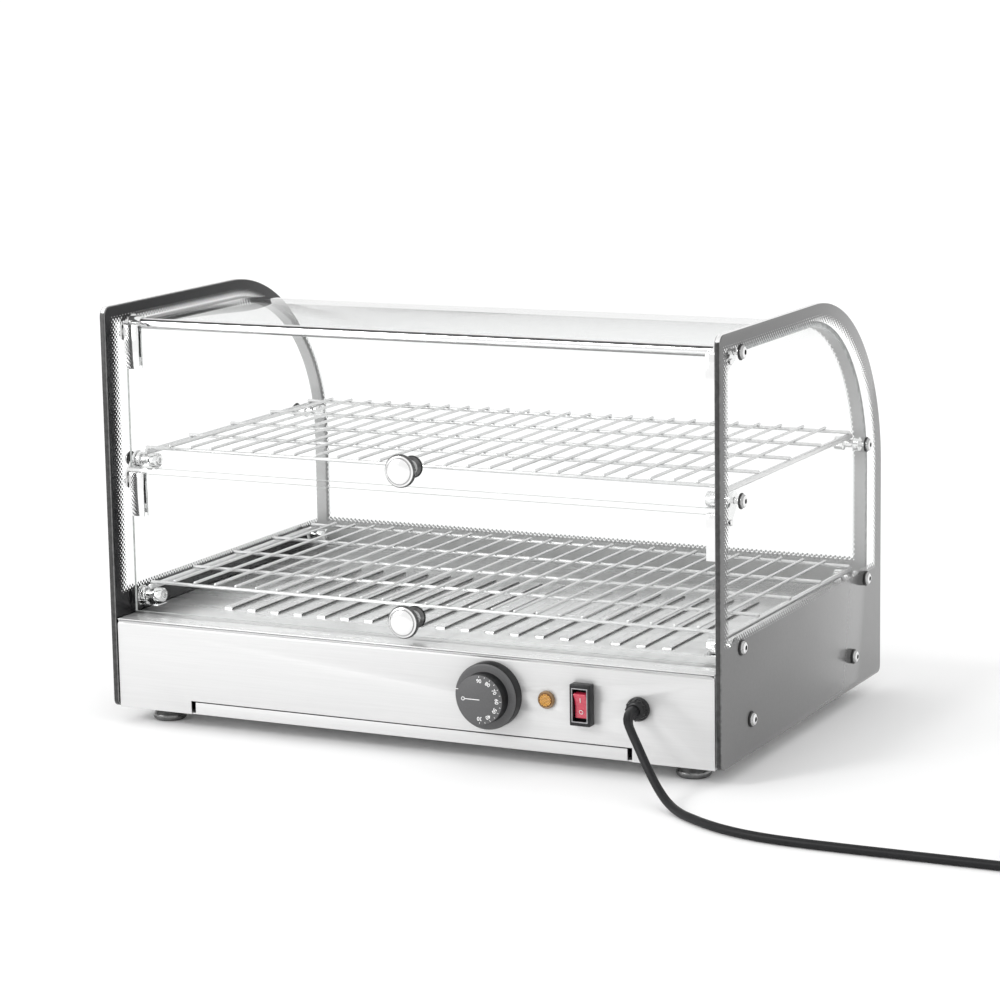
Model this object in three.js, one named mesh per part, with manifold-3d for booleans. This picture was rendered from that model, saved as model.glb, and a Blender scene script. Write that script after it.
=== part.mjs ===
// Countertop hot food display case: two printed side panes, one bent pane for top and back, two
// lift-up glass doors, two wire shelves and a stainless heater base with its controls at the front.
// Millimetres, +Z up. The object stands on z = 0 with the middle of its box, cord left out, at the
// origin. Inside the case group x is measured from the middle, y back from the front edges of the
// side panes and z up from the floor.
import * as THREE from 'three';
import { mergeVertices } from 'three/addons/utils/BufferGeometryUtils.js';
import Module from 'manifold-3d';

const wasm = await Module();
wasm.setup();

// ---------------------------------------------------------------- overall sizes
const caseWidth = 554;
const caseDepth = 364;
const paneHeight = 339.4;
const paneThickness = 5;
const footHeight = 14;
const baseHeight = 76.2;
const fitGap = 0.3;

// side panes and the bent pane
const paneBendRadius = 157;
const paneBottomCorner = 6;
const paneFrontCorner = 8;
const bentPaneInset = 15;
const bentPaneSideGap = 2.2;

// bolts and pegs
const boltHeadDiameter = 11;
const boltHeadHeight = 4.4;
const boltDiameter = 5;
const boltHoleClearance = 0.4;
const frontBoltInset = 41;
const rearBoltInset = 39;
const topBoltDrop = 17.4;
const upperShelfBoltHeight = 206;
const lowerShelfBoltHeight = 90;
const baseBoltHeight = 28;
const baseFrontBoltInset = 61;
const baseRearBoltInset = 69;
const nutDiameter = 9;
const nutThickness = 3;
const pegCollarDiameter = 12;
const pegNeckDiameter = 7;
const pegNeckWidth = 7.4;
const pegLength = 23;
const pegFlangeWidth = 9.3;

// doors, their clips and hinge pins
const doorGlassThickness = 4;
const doorFaceInset = 24.8;
const doorSideClearance = 3.8;
const topHingeDrop = 23.2;
const midHingeHeight = 191.2;
const hingeToClipTop = 6.5;
const doorGap = 3.8;
const lowerDoorLift = 1.8;
const clipSheet = 1;
const clipWidth = 14.3;
const clipHeight = 37.3;
const hingePinDiameter = 5;
const hingeHoleClearance = 0.5;
const knobRise = 17;
const doorKnobDiameter = 27.4;
const doorKnobReach = 26.4;
const knobScrewDiameter = 4;

// brackets and the rail under the front edge of the bent pane
const bracketSheet = 1.6;
const bracketLobe = 7.6;
const railDiameter = 9;
const railInset = 37.5;
const railDrop = 17.2;
const strapWidth = 12;
const strapSheet = 1.4;
const tabReach = 21;
const tabSheet = 1;

// shelves
const sideRodDiameter = 5;
const sideRodInset = 10;
const crossWireDiameter = 3;
const crossWireCount = 5;
const crossWireOverhang = 2;
const longWireDiameter = 2.5;
const longWireCount = 25;
const longWirePitch = 20;
const wireWeld = 0.4;
const shelfEndMargin = 3;
const shelfRodOverrun = 6;

// base, deck and crumb tray
const baseSheet = 1;
const panelInset = 1;
const panelCorner = 4;
const panelSideGap = 1;
const baseRearInset = 19;
const louvreCount = 19;
const louvrePitch = 22.5;
const louvreWidth = 5;
const louvreFront = 66;
const louvreLength = 190;
const trayWidth = 394;
const trayFrontHeight = 10.3;
const trayRearGap = 44;
const traySlotSideGap = 4.2;
const traySlotTopGap = 1;
const trayCentre = 0;
const heaterDiameter = 8;
const heaterDrop = 34.2;
const heaterSideGap = 22;
const heaterFrontGap = 110;
const heaterRearGap = 115;

// controls
const controlDrop = 32.7;
const thermostatX = 79;
const lampX = 128;
const switchX = 160.4;
const glandX = 207;
const skirtDiameter = 54.3;
const skirtDepth = 11;
const dialDiameter = 40.3;
const dialDepth = 10.8;
const spindleDiameter = 6;
const spindleHoleDiameter = 10;
const lampDiameter = 14.4;
const lampBodyDiameter = 11;
const bezelWidth = 17.6;
const bezelHeight = 33.5;
const bezelDepth = 8.6;
const switchBodyWidth = 13;
const switchBodyHeight = 28;
const switchBodyDepth = 20;
const rockerWidth = 11.4;
const rockerHeight = 21;
const rockerTilt = 10;
const glandDiameter = 19.4;
const glandReach = 9;
const glandBodyDiameter = 15;

// feet
const footDiameter = 28.6;
const footInset = 31;
const footSideInset = 36;

// cord
const cordDiameter = 7;
const cordSides = 8;
const coilTurnRadius = 38.5;
const coilCentre = [590, -251.1];
const plugBodyDiameter = 36;
const plugBodyLength = 34;
const plugReliefLength = 38;
const plugPinDiameter = 4.8;
const plugPinLength = 19;
const plugPinPitch = 19;

// ---------------------------------------------------------------- worked-out places
const halfWidth = caseWidth / 2;
const innerX = halfWidth - paneThickness;
const paneBottom = footHeight;
const paneTop = paneBottom + paneHeight;
const deckTop = paneBottom + baseHeight;
const rearBoltY = caseDepth - rearBoltInset;
const railZ = paneTop - railDrop;
const topBoltZ = paneTop - topBoltDrop;
const topHingeZ = paneTop - topHingeDrop;
const midHingeZ = paneBottom + midHingeHeight;
const doorMidY = doorFaceInset + doorGlassThickness / 2;
const doorHalfWidth = innerX - doorSideClearance;
const bentPaneTop = paneTop - bentPaneInset;
const bentPaneRear = caseDepth - bentPaneInset;
const panelFace = panelInset;
const panelBack = panelInset + baseSheet;
const controlZ = deckTop - controlDrop;
const baseHalfWidth = innerX - panelSideGap;
const baseRear = caseDepth - baseRearInset;
const knobReach = skirtDepth + dialDepth + fitGap - panelFace;
const caseShift = (knobReach - caseDepth) / 2;

// ---------------------------------------------------------------- finishes
const finish = (color, roughness, metalness) => (
  new THREE.MeshStandardMaterial({ color, roughness, metalness })
);
const steel = finish(0xd9dadb, 0.3, 1);
const polished = finish(0xe6e7e8, 0.12, 1);
const chromeWire = finish(0xeeeeee, 0.22, 1);
const clearGlass = finish(0xf2f6f5, 0.05, 0);
const printedGlass = finish(0x3c3d3f, 0.12, 0);
const blackPlastic = finish(0x38393a, 0.5, 0);
const blackRubber = finish(0x2a2a2b, 0.6, 0);
const amberLens = finish(0xd98a2b, 0.2, 0);
const redLens = finish(0xb02a3c, 0.25, 0);
const heaterSteel = finish(0x6b6a66, 0.5, 1);

// ---------------------------------------------------------------- solids
const signedVolume = (geometry) => {
  const place = geometry.getAttribute('position');
  const order = geometry.getIndex();
  const corner = (i) => new THREE.Vector3().fromBufferAttribute(place, order.getX(i));
  let volume = 0;
  for (let i = 0; i < order.count; i += 3) {
    volume += corner(i).dot(corner(i + 1).cross(corner(i + 2))) / 6;
  }
  return volume;
};

// Merged vertices and faces that point out.
const closed = (geometry) => {
  const bare = geometry.clone();
  bare.deleteAttribute('normal');
  bare.deleteAttribute('uv');
  const merged = mergeVertices(bare, 1e-4);
  if (signedVolume(merged) < 0) {
    merged.getIndex().array.reverse();
  }
  return merged;
};

const toSolid = (geometry) => {
  const bare = closed(geometry);
  return new wasm.Manifold(new wasm.Mesh({
    numProp: 3,
    vertProperties: new Float32Array(bare.getAttribute('position').array),
    triVerts: new Uint32Array(bare.getIndex().array),
  }));
};

const toGeometry = (solid) => {
  const mesh = solid.getMesh();
  const geometry = new THREE.BufferGeometry();
  geometry.setAttribute('position', new THREE.BufferAttribute(mesh.vertProperties, 3));
  geometry.setIndex(new THREE.BufferAttribute(mesh.triVerts, 1));
  return geometry;
};

const fuse = (...shapes) => toGeometry(
  shapes.map(toSolid).reduce((whole, next) => whole.add(next)),
);

const cut = (shape, ...tools) => toGeometry(
  tools.map(toSolid).reduce((whole, next) => whole.subtract(next), toSolid(shape)),
);

// A box between two corners.
const block = (x0, x1, y0, y1, z0, z1) => (
  new THREE.BoxGeometry(x1 - x0, y1 - y0, z1 - z0)
    .translate((x0 + x1) / 2, (y0 + y1) / 2, (z0 + z1) / 2)
);

// An outline drawn in y and z, given its thickness along x.
const sheetAcross = (outline, x0, x1, curveSegments = 6) => {
  const turn = new THREE.Matrix4().makeBasis(
    new THREE.Vector3(0, 1, 0),
    new THREE.Vector3(0, 0, 1),
    new THREE.Vector3(1, 0, 0),
  );
  return new THREE.ExtrudeGeometry(outline, { depth: x1 - x0, bevelEnabled: false, curveSegments })
    .applyMatrix4(turn)
    .translate(x0, 0, 0);
};

// An outline drawn in x and z, given its thickness along y.
const sheetFacing = (outline, y0, y1, curveSegments = 6) => (
  new THREE.ExtrudeGeometry(outline, { depth: y1 - y0, bevelEnabled: false, curveSegments })
    .rotateX(Math.PI / 2)
    .translate(0, y1, 0)
);

// Round bars along x and y.
const barAcross = (diameter, x0, x1, y, z, sides = 12) => (
  new THREE.CylinderGeometry(diameter / 2, diameter / 2, x1 - x0, sides)
    .rotateZ(Math.PI / 2)
    .translate((x0 + x1) / 2, y, z)
);
const barBack = (diameter, x, y0, y1, z, sides = 12) => (
  new THREE.CylinderGeometry(diameter / 2, diameter / 2, y1 - y0, sides)
    .translate(x, (y0 + y1) / 2, z)
);

// A turned piece: pairs of radius and height along its own axis, which is its y axis.
const turned = (profile, segments = 12) => (
  new THREE.LatheGeometry(profile.map(([radius, along]) => new THREE.Vector2(radius, along)), segments)
);

const mirrored = (geometry) => closed(geometry.clone().scale(-1, 1, 1));

const ring = (outline, y, z, diameter) => {
  const hole = new THREE.Path();
  hole.absarc(y, z, diameter / 2, 0, Math.PI * 2, true);
  outline.holes.push(hole);
};

// The outline round a few discs of one radius, as a rubber band would lie.
const hullOutline = (centres, radius) => {
  const steps = 16;
  const points = [];
  for (const [y, z] of centres) {
    for (let i = 0; i < steps; i += 1) {
      const angle = (i / steps) * Math.PI * 2;
      points.push([y + radius * Math.cos(angle), z + radius * Math.sin(angle)]);
    }
  }
  points.sort((a, b) => a[0] - b[0] || a[1] - b[1]);
  const turnOf = (o, a, b) => (a[0] - o[0]) * (b[1] - o[1]) - (a[1] - o[1]) * (b[0] - o[0]);
  const chain = (list) => {
    const kept = [];
    for (const point of list) {
      while (kept.length > 1 && turnOf(kept.at(-2), kept.at(-1), point) <= 1e-9) {
        kept.pop();
      }
      kept.push(point);
    }
    return kept.slice(0, -1);
  };
  const hull = [...chain(points), ...chain([...points].reverse())];
  return new THREE.Shape(hull.map(([y, z]) => new THREE.Vector2(y, z)));
};

const roundedRectangle = (x0, x1, z0, z1, radius) => {
  const outline = new THREE.Shape();
  outline.absarc(x1 - radius, z0 + radius, radius, -Math.PI / 2, 0);
  outline.absarc(x1 - radius, z1 - radius, radius, 0, Math.PI / 2);
  outline.absarc(x0 + radius, z1 - radius, radius, Math.PI / 2, Math.PI);
  outline.absarc(x0 + radius, z0 + radius, radius, Math.PI, Math.PI * 1.5);
  return outline;
};

// ---------------------------------------------------------------- assembly
const displayCase = new THREE.Group();
const body = new THREE.Group();
body.position.y = caseShift;
displayCase.add(body);

const addTo = (group, name, geometry, material) => {
  const mesh = new THREE.Mesh(closed(geometry), material);
  mesh.name = name;
  group.add(mesh);
  return mesh;
};
const add = (name, geometry, material) => addTo(body, name, geometry, material);

// A piece made for the right side, and its mirror image for the left.
const addPair = (name, geometry, material) => {
  add(`${name}_right`, geometry, material);
  add(`${name}_left`, mirrored(geometry), material);
};

// ---------------------------------------------------------------- bolt rows
const boltRows = {
  top: [frontBoltInset, topBoltZ],
  upper_front: [frontBoltInset, paneBottom + upperShelfBoltHeight],
  upper_rear: [rearBoltY, paneBottom + upperShelfBoltHeight],
  lower_front: [frontBoltInset, paneBottom + lowerShelfBoltHeight],
  lower_rear: [rearBoltY, paneBottom + lowerShelfBoltHeight],
  base_front: [baseFrontBoltInset, paneBottom + baseBoltHeight],
  base_rear: [caseDepth - baseRearBoltInset, paneBottom + baseBoltHeight],
};
const hingeRows = [
  [doorMidY, topHingeZ],
  [doorMidY, midHingeZ],
];
const boltHole = boltDiameter + 2 * boltHoleClearance;
const hingeHole = hingePinDiameter + 2 * hingeHoleClearance;

// ---------------------------------------------------------------- side panes
const sidePaneOutline = () => {
  const outline = new THREE.Shape();
  const low = paneBottomCorner;
  const bend = paneBendRadius;
  outline.absarc(caseDepth - low, paneBottom + low, low, -Math.PI / 2, 0);
  outline.absarc(caseDepth - bend, paneTop - bend, bend, 0, Math.PI / 2);
  outline.absarc(paneFrontCorner, paneTop - paneFrontCorner, paneFrontCorner, Math.PI / 2, Math.PI);
  outline.absarc(low, paneBottom + low, low, Math.PI, Math.PI * 1.5);
  for (const [y, z] of Object.values(boltRows)) {
    ring(outline, y, z, boltHole);
  }
  for (const [y, z] of hingeRows) {
    ring(outline, y, z, hingeHole);
  }
  return outline;
};
addPair('side_pane', sheetAcross(sidePaneOutline(), innerX, halfWidth, 7), printedGlass);

// ---------------------------------------------------------------- bent pane: top and back in one
const bentPaneOutline = () => {
  const front = railInset + railDiameter / 2 + fitGap * 2;
  const outer = paneBendRadius - bentPaneInset;
  const inner = outer - paneThickness;
  const middleY = bentPaneRear - outer;
  const middleZ = bentPaneTop - outer;
  const outline = new THREE.Shape();
  outline.moveTo(bentPaneRear, deckTop + fitGap);
  outline.absarc(middleY, middleZ, outer, 0, Math.PI / 2);
  outline.lineTo(front, bentPaneTop);
  outline.lineTo(front, bentPaneTop - paneThickness);
  outline.absarc(middleY, middleZ, inner, Math.PI / 2, 0, true);
  outline.lineTo(bentPaneRear - paneThickness, deckTop + fitGap);
  return outline;
};
const bentPaneHalf = innerX - bentPaneSideGap;
add('bent_pane', sheetAcross(bentPaneOutline(), -bentPaneHalf, bentPaneHalf, 12), clearGlass);

// ---------------------------------------------------------------- rail and brackets
const bracketFace = innerX - fitGap;
const bracketBack = bracketFace - bracketSheet;

const railEnd = bracketBack - fitGap;
add('top_rail', barAcross(railDiameter, -railEnd, railEnd, railInset, railZ, 20), polished);

const bracketPlate = (centres) => sheetAcross(hullOutline(centres, bracketLobe), bracketBack, bracketFace);
const boltHoleTool = ([y, z]) => barAcross(boltHole, bracketBack - 1, bracketFace + 1, y, z);
const hingeHoleTool = ([y, z]) => barAcross(hingeHole, bracketBack - 1, bracketFace + 1, y, z);

// The strap that hooks over the end of the rail.
const railStrap = () => {
  const inside = railDiameter / 2 + fitGap;
  const outside = inside + strapSheet;
  const from = THREE.MathUtils.degToRad(50);
  const to = THREE.MathUtils.degToRad(165);
  const outline = new THREE.Shape();
  outline.absarc(railInset, railZ, outside, from, to);
  outline.absarc(railInset, railZ, inside, to, from, true);
  return sheetAcross(outline, bracketBack - strapWidth, bracketBack + 0.5);
};

const topBracket = cut(
  fuse(bracketPlate([boltRows.top, hingeRows[0]]), railStrap()),
  boltHoleTool(boltRows.top),
  hingeHoleTool(hingeRows[0]),
);
addPair('top_bracket', topBracket, polished);

// A flat tab that reaches in from a bracket's plate.
const bracketTab = (y0, y1, z) => block(bracketBack - tabReach, bracketBack + 0.5, y0, y1, z, z + tabSheet);

const midTabZ = paneBottom + upperShelfBoltHeight - pegCollarDiameter / 2 - fitGap - tabSheet;
const midBracket = cut(
  fuse(
    bracketPlate([boltRows.upper_front, hingeRows[1]]),
    bracketTab(doorFaceInset + doorGlassThickness + 6.5, frontBoltInset + 4, midTabZ),
  ),
  boltHoleTool(boltRows.upper_front),
  hingeHoleTool(hingeRows[1]),
);
addPair('middle_bracket', midBracket, polished);

const lowBracketFoot = [frontBoltInset - 1, paneBottom + lowerShelfBoltHeight - 2];
const lowTabZ = paneBottom + lowerShelfBoltHeight - pegCollarDiameter / 2 - fitGap - tabSheet;
const lowTabFront = doorFaceInset + doorGlassThickness + clipSheet + fitGap;
const lowBracket = cut(
  fuse(
    bracketPlate([boltRows.lower_front, lowBracketFoot]),
    bracketTab(lowTabFront, frontBoltInset + 4, lowTabZ),
  ),
  boltHoleTool(boltRows.lower_front),
);
addPair('lower_bracket', lowBracket, polished);

// ---------------------------------------------------------------- pegs
// Each peg has a collar against the pane or bracket, a neck that carries the shelf's side rod and an
// end flange. A blind hole takes the bolt.
const pegProfile = (length) => {
  const collar = pegCollarDiameter / 2;
  const neck = pegNeckDiameter / 2;
  const flangeStart = length - pegFlangeWidth;
  const neckStart = flangeStart - pegNeckWidth;
  const bore = boltHole / 2;
  const boreDepth = neckStart - 1;
  return [
    [0, boreDepth],
    [bore, boreDepth],
    [bore, 0],
    [collar - 0.5, 0],
    [collar, 0.5],
    [collar, neckStart - 0.8],
    [neck, neckStart],
    [neck, flangeStart],
    [collar, flangeStart + 0.8],
    [collar, length - 0.8],
    [collar - 0.8, length],
    [0, length],
  ];
};
const pegEndX = innerX - pegLength;
const addPeg = (row, sideName, side) => {
  const [y, z] = boltRows[row];
  const behindBracket = row.endsWith('front');
  const start = behindBracket ? bracketBack - fitGap : innerX - fitGap;
  const peg = add(`${row}_peg_${sideName}`, turned(pegProfile(start - pegEndX), 10), polished);
  peg.rotation.z = side * (Math.PI / 2);
  peg.position.set(side * start, y, z);
};

// ---------------------------------------------------------------- bolts
// A domed head outside the pane and a shank; where no peg takes it, a nut inside.
const boltProfile = (reach, nutStart) => {
  const head = boltHeadDiameter / 2;
  const shank = boltDiameter / 2;
  const profile = [
    [0, -boltHeadHeight],
    [head * 0.55, -boltHeadHeight * 0.88],
    [head * 0.88, -boltHeadHeight * 0.52],
    [head, -fitGap],
    [shank, -fitGap],
  ];
  if (nutStart) {
    profile.push([shank, nutStart], [nutDiameter / 2, nutStart]);
    profile.push([nutDiameter / 2, nutStart + nutThickness], [0, nutStart + nutThickness]);
  } else {
    profile.push([shank, reach], [0, reach]);
  }
  return profile;
};
const bracketReach = paneThickness + fitGap + bracketSheet;
const pegGrip = 3;
const addBolt = (row, sideName, side) => {
  const [y, z] = boltRows[row];
  const reach = row === 'top' ? bracketReach : bracketReach + pegGrip;
  const nutStart = row.startsWith('base') ? halfWidth - baseHalfWidth + baseSheet + fitGap : 0;
  const bolt = add(`${row}_bolt_${sideName}`, turned(boltProfile(reach, nutStart), 12), polished);
  bolt.rotation.z = side * (Math.PI / 2);
  bolt.position.set(side * halfWidth, y, z);
};

for (const [sideName, side] of [['right', 1], ['left', -1]]) {
  for (const row of Object.keys(boltRows)) {
    addBolt(row, sideName, side);
    if (row.startsWith('upper') || row.startsWith('lower')) {
      addPeg(row, sideName, side);
    }
  }
}

// ---------------------------------------------------------------- doors
// A folded clip holds each top corner of a door and carries the hinge pin.
const doorClip = (hingeZ) => {
  const front = doorFaceInset - fitGap;
  const back = doorFaceInset + doorGlassThickness + fitGap;
  const top = hingeZ + hingeToClipTop;
  const outerX = doorHalfWidth + fitGap + clipSheet;
  const shell = block(outerX - clipWidth, outerX, front - clipSheet, back + clipSheet, top - clipHeight, top);
  const inside = block(
    outerX - clipWidth - 1,
    outerX - clipSheet,
    front,
    back,
    top - clipHeight - 1,
    top - clipSheet,
  );
  const pin = barAcross(hingePinDiameter, outerX - 0.5, halfWidth - 0.5, doorMidY, hingeZ);
  return fuse(cut(shell, inside), pin);
};

const doorGlass = (hingeZ, bottom) => {
  const top = hingeZ + hingeToClipTop - clipSheet - fitGap;
  const outline = roundedRectangle(-doorHalfWidth, doorHalfWidth, bottom, top, 1.5);
  ring(outline, 0, bottom + knobRise, knobScrewDiameter + 2 * fitGap);
  return sheetFacing(outline, doorFaceInset, doorFaceInset + doorGlassThickness, 4);
};

// A mushroom knob with its stud through the glass and a nut behind, turned about y.
const doorKnobProfile = () => {
  const disc = doorKnobDiameter / 2;
  const stud = knobScrewDiameter / 2;
  const seat = doorKnobReach - fitGap;
  const nutSeat = doorKnobReach + doorGlassThickness + fitGap;
  return [
    [0, 0],
    [disc * 0.6, 1],
    [disc * 0.92, 3],
    [disc, 5],
    [disc * 0.94, 6.6],
    [disc * 0.5, 8.4],
    [4.4, 13],
    [4.6, 18],
    [7.5, seat - 3.4],
    [8.6, seat - 1.4],
    [8.6, seat],
    [stud, seat],
    [stud, nutSeat],
    [5.4, nutSeat],
    [5.4, nutSeat + 2.6],
    [0, nutSeat + 2.6],
  ];
};

const addDoor = (name, hingeZ, bottom) => {
  add(`${name}_glass`, doorGlass(hingeZ, bottom), clearGlass);
  addPair(`${name}_clip`, doorClip(hingeZ), polished);
  const knob = add(`${name}_knob`, turned(doorKnobProfile(), 18), polished);
  knob.position.set(0, doorFaceInset - doorKnobReach, bottom + knobRise);
};
const upperDoorBottom = midHingeZ + hingeToClipTop + doorGap;
const lowerDoorBottom = deckTop + lowerDoorLift;
addDoor('upper_door', topHingeZ, upperDoorBottom);
addDoor('lower_door', midHingeZ, lowerDoorBottom);

// ---------------------------------------------------------------- wire shelves
// Two side rods lie on the pegs' necks, the cross wires lie on the rods and the long wires on those.
const shelf = (boltHeight, shift) => {
  const rodZ = paneBottom + boltHeight + pegNeckDiameter / 2 + fitGap + sideRodDiameter / 2;
  const crossZ = rodZ + (sideRodDiameter + crossWireDiameter) / 2 - wireWeld;
  const longZ = crossZ + (crossWireDiameter + longWireDiameter) / 2 - wireWeld;
  const rodX = innerX - sideRodInset;
  const front = frontBoltInset + shelfEndMargin;
  const rear = rearBoltY - shelfEndMargin;
  const crossEnd = rodX + crossWireOverhang;
  const wires = [];
  for (const side of [-1, 1]) {
    const rod = new THREE.CylinderGeometry(
      sideRodDiameter / 2,
      sideRodDiameter / 2,
      rear - front + 2 * shelfRodOverrun,
      6,
    );
    wires.push(rod.translate(side * rodX + shift, (front + rear) / 2, rodZ));
  }
  for (let i = 0; i < crossWireCount; i += 1) {
    const y = front + ((rear - front) * i) / (crossWireCount - 1);
    const half = crossWireDiameter * 0.44;
    wires.push(block(-crossEnd + shift, crossEnd + shift, y - half, y + half, crossZ - half, crossZ + half));
  }
  const longZHalf = longWireDiameter * 0.44;
  for (let i = 0; i < longWireCount; i += 1) {
    const x = (i - (longWireCount - 1) / 2) * longWirePitch + shift;
    wires.push(block(
      x - longZHalf,
      x + longZHalf,
      front - crossWireDiameter / 2,
      rear + 4,
      longZ - longZHalf,
      longZ + longZHalf,
    ));
  }
  return fuse(...wires);
};
add('upper_shelf', shelf(upperShelfBoltHeight, 0), chromeWire);
add('lower_shelf', shelf(lowerShelfBoltHeight, 0), chromeWire);

// ---------------------------------------------------------------- base
const traySlotHalf = trayWidth / 2 + traySlotSideGap;
const traySlotTop = paneBottom + trayFrontHeight + traySlotTopGap;

const frontPanelOutline = () => {
  const top = deckTop - baseSheet - fitGap;
  const outline = new THREE.Shape();
  outline.moveTo(-baseHalfWidth, paneBottom);
  outline.lineTo(trayCentre - traySlotHalf, paneBottom);
  outline.lineTo(trayCentre - traySlotHalf, traySlotTop);
  outline.lineTo(trayCentre + traySlotHalf, traySlotTop);
  outline.lineTo(trayCentre + traySlotHalf, paneBottom);
  outline.lineTo(baseHalfWidth, paneBottom);
  outline.absarc(baseHalfWidth - panelCorner, top - panelCorner, panelCorner, 0, Math.PI / 2);
  outline.absarc(-baseHalfWidth + panelCorner, top - panelCorner, panelCorner, Math.PI / 2, Math.PI);
  ring(outline, thermostatX, controlZ, spindleHoleDiameter);
  ring(outline, lampX, controlZ, lampBodyDiameter + 2 * fitGap);
  ring(outline, glandX, controlZ, glandBodyDiameter + 2 * fitGap);
  const opening = new THREE.Path();
  const halfWide = switchBodyWidth / 2 + fitGap;
  const halfHigh = switchBodyHeight / 2 + fitGap;
  opening.moveTo(switchX - halfWide, controlZ - halfHigh);
  opening.lineTo(switchX - halfWide, controlZ + halfHigh);
  opening.lineTo(switchX + halfWide, controlZ + halfHigh);
  opening.lineTo(switchX + halfWide, controlZ - halfHigh);
  outline.holes.push(opening);
  return outline;
};
add('front_panel', sheetFacing(frontPanelOutline(), panelFace, panelBack, 6), steel);

// Bottom, two sides and back folded from one sheet, open at the front and the top.
const footPlaces = [];
for (const side of [-1, 1]) {
  for (const y of [footInset, caseDepth - footInset - baseRearInset]) {
    footPlaces.push([side * (halfWidth - footSideInset), y]);
  }
}
const baseShell = () => {
  const front = panelBack + fitGap;
  const top = deckTop - baseSheet - fitGap;
  const outside = block(-baseHalfWidth, baseHalfWidth, front, baseRear, paneBottom, top);
  const inside = block(
    -baseHalfWidth + baseSheet,
    baseHalfWidth - baseSheet,
    front - 1,
    baseRear - baseSheet,
    paneBottom + baseSheet,
    top + 1,
  );
  const holes = footPlaces.map(([x, y]) => (
    new THREE.CylinderGeometry(boltHole / 2, boltHole / 2, 4, 12).rotateX(Math.PI / 2).translate(x, y, paneBottom)
  ));
  const sideHoles = [boltRows.base_front, boltRows.base_rear].map(([y, z]) => (
    barAcross(boltHole, -halfWidth, halfWidth, y, z)
  ));
  return cut(outside, inside, ...holes, ...sideHoles);
};
add('base_shell', baseShell(), steel);

// The deck closes the base and has a row of long louvre slots over the heater.
const deckPlate = () => {
  const bottom = deckTop - baseSheet;
  const sheet = block(-baseHalfWidth, baseHalfWidth, panelFace, bentPaneRear, bottom, deckTop);
  const slots = [];
  for (let i = 0; i < louvreCount; i += 1) {
    const x = (i - (louvreCount - 1) / 2) * louvrePitch;
    slots.push(block(
      x - louvreWidth / 2,
      x + louvreWidth / 2,
      louvreFront,
      louvreFront + louvreLength,
      bottom - 1,
      deckTop + 1,
    ));
  }
  return cut(sheet, ...slots);
};
add('deck_plate', deckPlate(), polished);

// ---------------------------------------------------------------- crumb tray
const crumbTray = () => {
  const bottom = paneBottom + baseSheet + fitGap;
  const top = paneBottom + trayFrontHeight - 1;
  const half = trayWidth / 2 - 2;
  const rear = baseRear - baseSheet - trayRearGap;
  const pan = block(-half, half, panelBack - 0.5, rear, bottom, top);
  const inside = block(-half + 1, half - 1, panelBack + 1, rear - 1, bottom + 1, top + 1);
  const flap = block(
    -trayWidth / 2,
    trayWidth / 2,
    panelFace,
    panelBack,
    paneBottom + fitGap,
    paneBottom + trayFrontHeight,
  );
  return fuse(cut(pan, inside), flap).translate(trayCentre, 0, 0);
};
add('crumb_tray', crumbTray(), steel);

// ---------------------------------------------------------------- heater
const heaterPath = () => {
  const low = paneBottom + baseSheet + fitGap;
  const high = deckTop - heaterDrop;
  const right = trayWidth / 2 + heaterSideGap;
  const left = -trayWidth / 2;
  const near = heaterFrontGap;
  const far = baseRear - heaterRearGap;
  return new THREE.CatmullRomCurve3([
    new THREE.Vector3(right, near, low),
    new THREE.Vector3(right, near, high - 14),
    new THREE.Vector3(right - 14, near, high),
    new THREE.Vector3(right - 60, near, high),
    new THREE.Vector3(left + 60, near, high),
    new THREE.Vector3(left + 20, near + 12, high),
    new THREE.Vector3(left, (near + far) / 2, high),
    new THREE.Vector3(left + 20, far - 12, high),
    new THREE.Vector3(left + 60, far, high),
    new THREE.Vector3(right - 60, far, high),
    new THREE.Vector3(right - 14, far, high),
    new THREE.Vector3(right, far, high - 14),
    new THREE.Vector3(right, far, low),
  ], false, 'centripetal');
};
const disc = (radius, sides) => {
  const outline = new THREE.Shape();
  for (let i = 0; i < sides; i += 1) {
    const angle = (i / sides) * Math.PI * 2;
    const x = radius * Math.cos(angle);
    const y = radius * Math.sin(angle);
    if (i === 0) {
      outline.moveTo(x, y);
    } else {
      outline.lineTo(x, y);
    }
  }
  return outline;
};
add('heating_element', new THREE.ExtrudeGeometry(disc(heaterDiameter / 2, 6), {
  steps: 36,
  extrudePath: heaterPath(),
  bevelEnabled: false,
}), heaterSteel);

// ---------------------------------------------------------------- controls
// A turned control stands on the panel with its axis along y; heights in its profile run backwards.
const addControl = (name, x, profile, material, segments) => {
  const control = add(name, turned(profile, segments), material);
  control.position.set(x, 0, controlZ);
};

const knobFront = panelFace - fitGap - skirtDepth - dialDepth;
const spindleEnd = panelBack + 6;
addControl('thermostat_knob', thermostatX, [
  [0, knobFront],
  [dialDiameter / 2 - 0.8, knobFront],
  [dialDiameter / 2, knobFront + 0.8],
  [dialDiameter / 2 + 0.3, knobFront + dialDepth],
  [skirtDiameter / 2 - 2, knobFront + dialDepth],
  [skirtDiameter / 2 - 0.6, knobFront + dialDepth + 1.4],
  [skirtDiameter / 2, panelFace - fitGap],
  [spindleDiameter / 2, panelFace - fitGap],
  [spindleDiameter / 2, spindleEnd],
  [0, spindleEnd],
], blackPlastic, 32);

const thermostatBody = () => {
  const half = 17;
  const front = panelBack + fitGap;
  const housing = block(thermostatX - half, thermostatX + half, front, front + 30, controlZ - 20, controlZ + 20);
  const socket = barBack(spindleHoleDiameter, thermostatX, front - 1, spindleEnd + fitGap, controlZ);
  return cut(housing, socket);
};
add('thermostat_body', thermostatBody(), steel);

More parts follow.
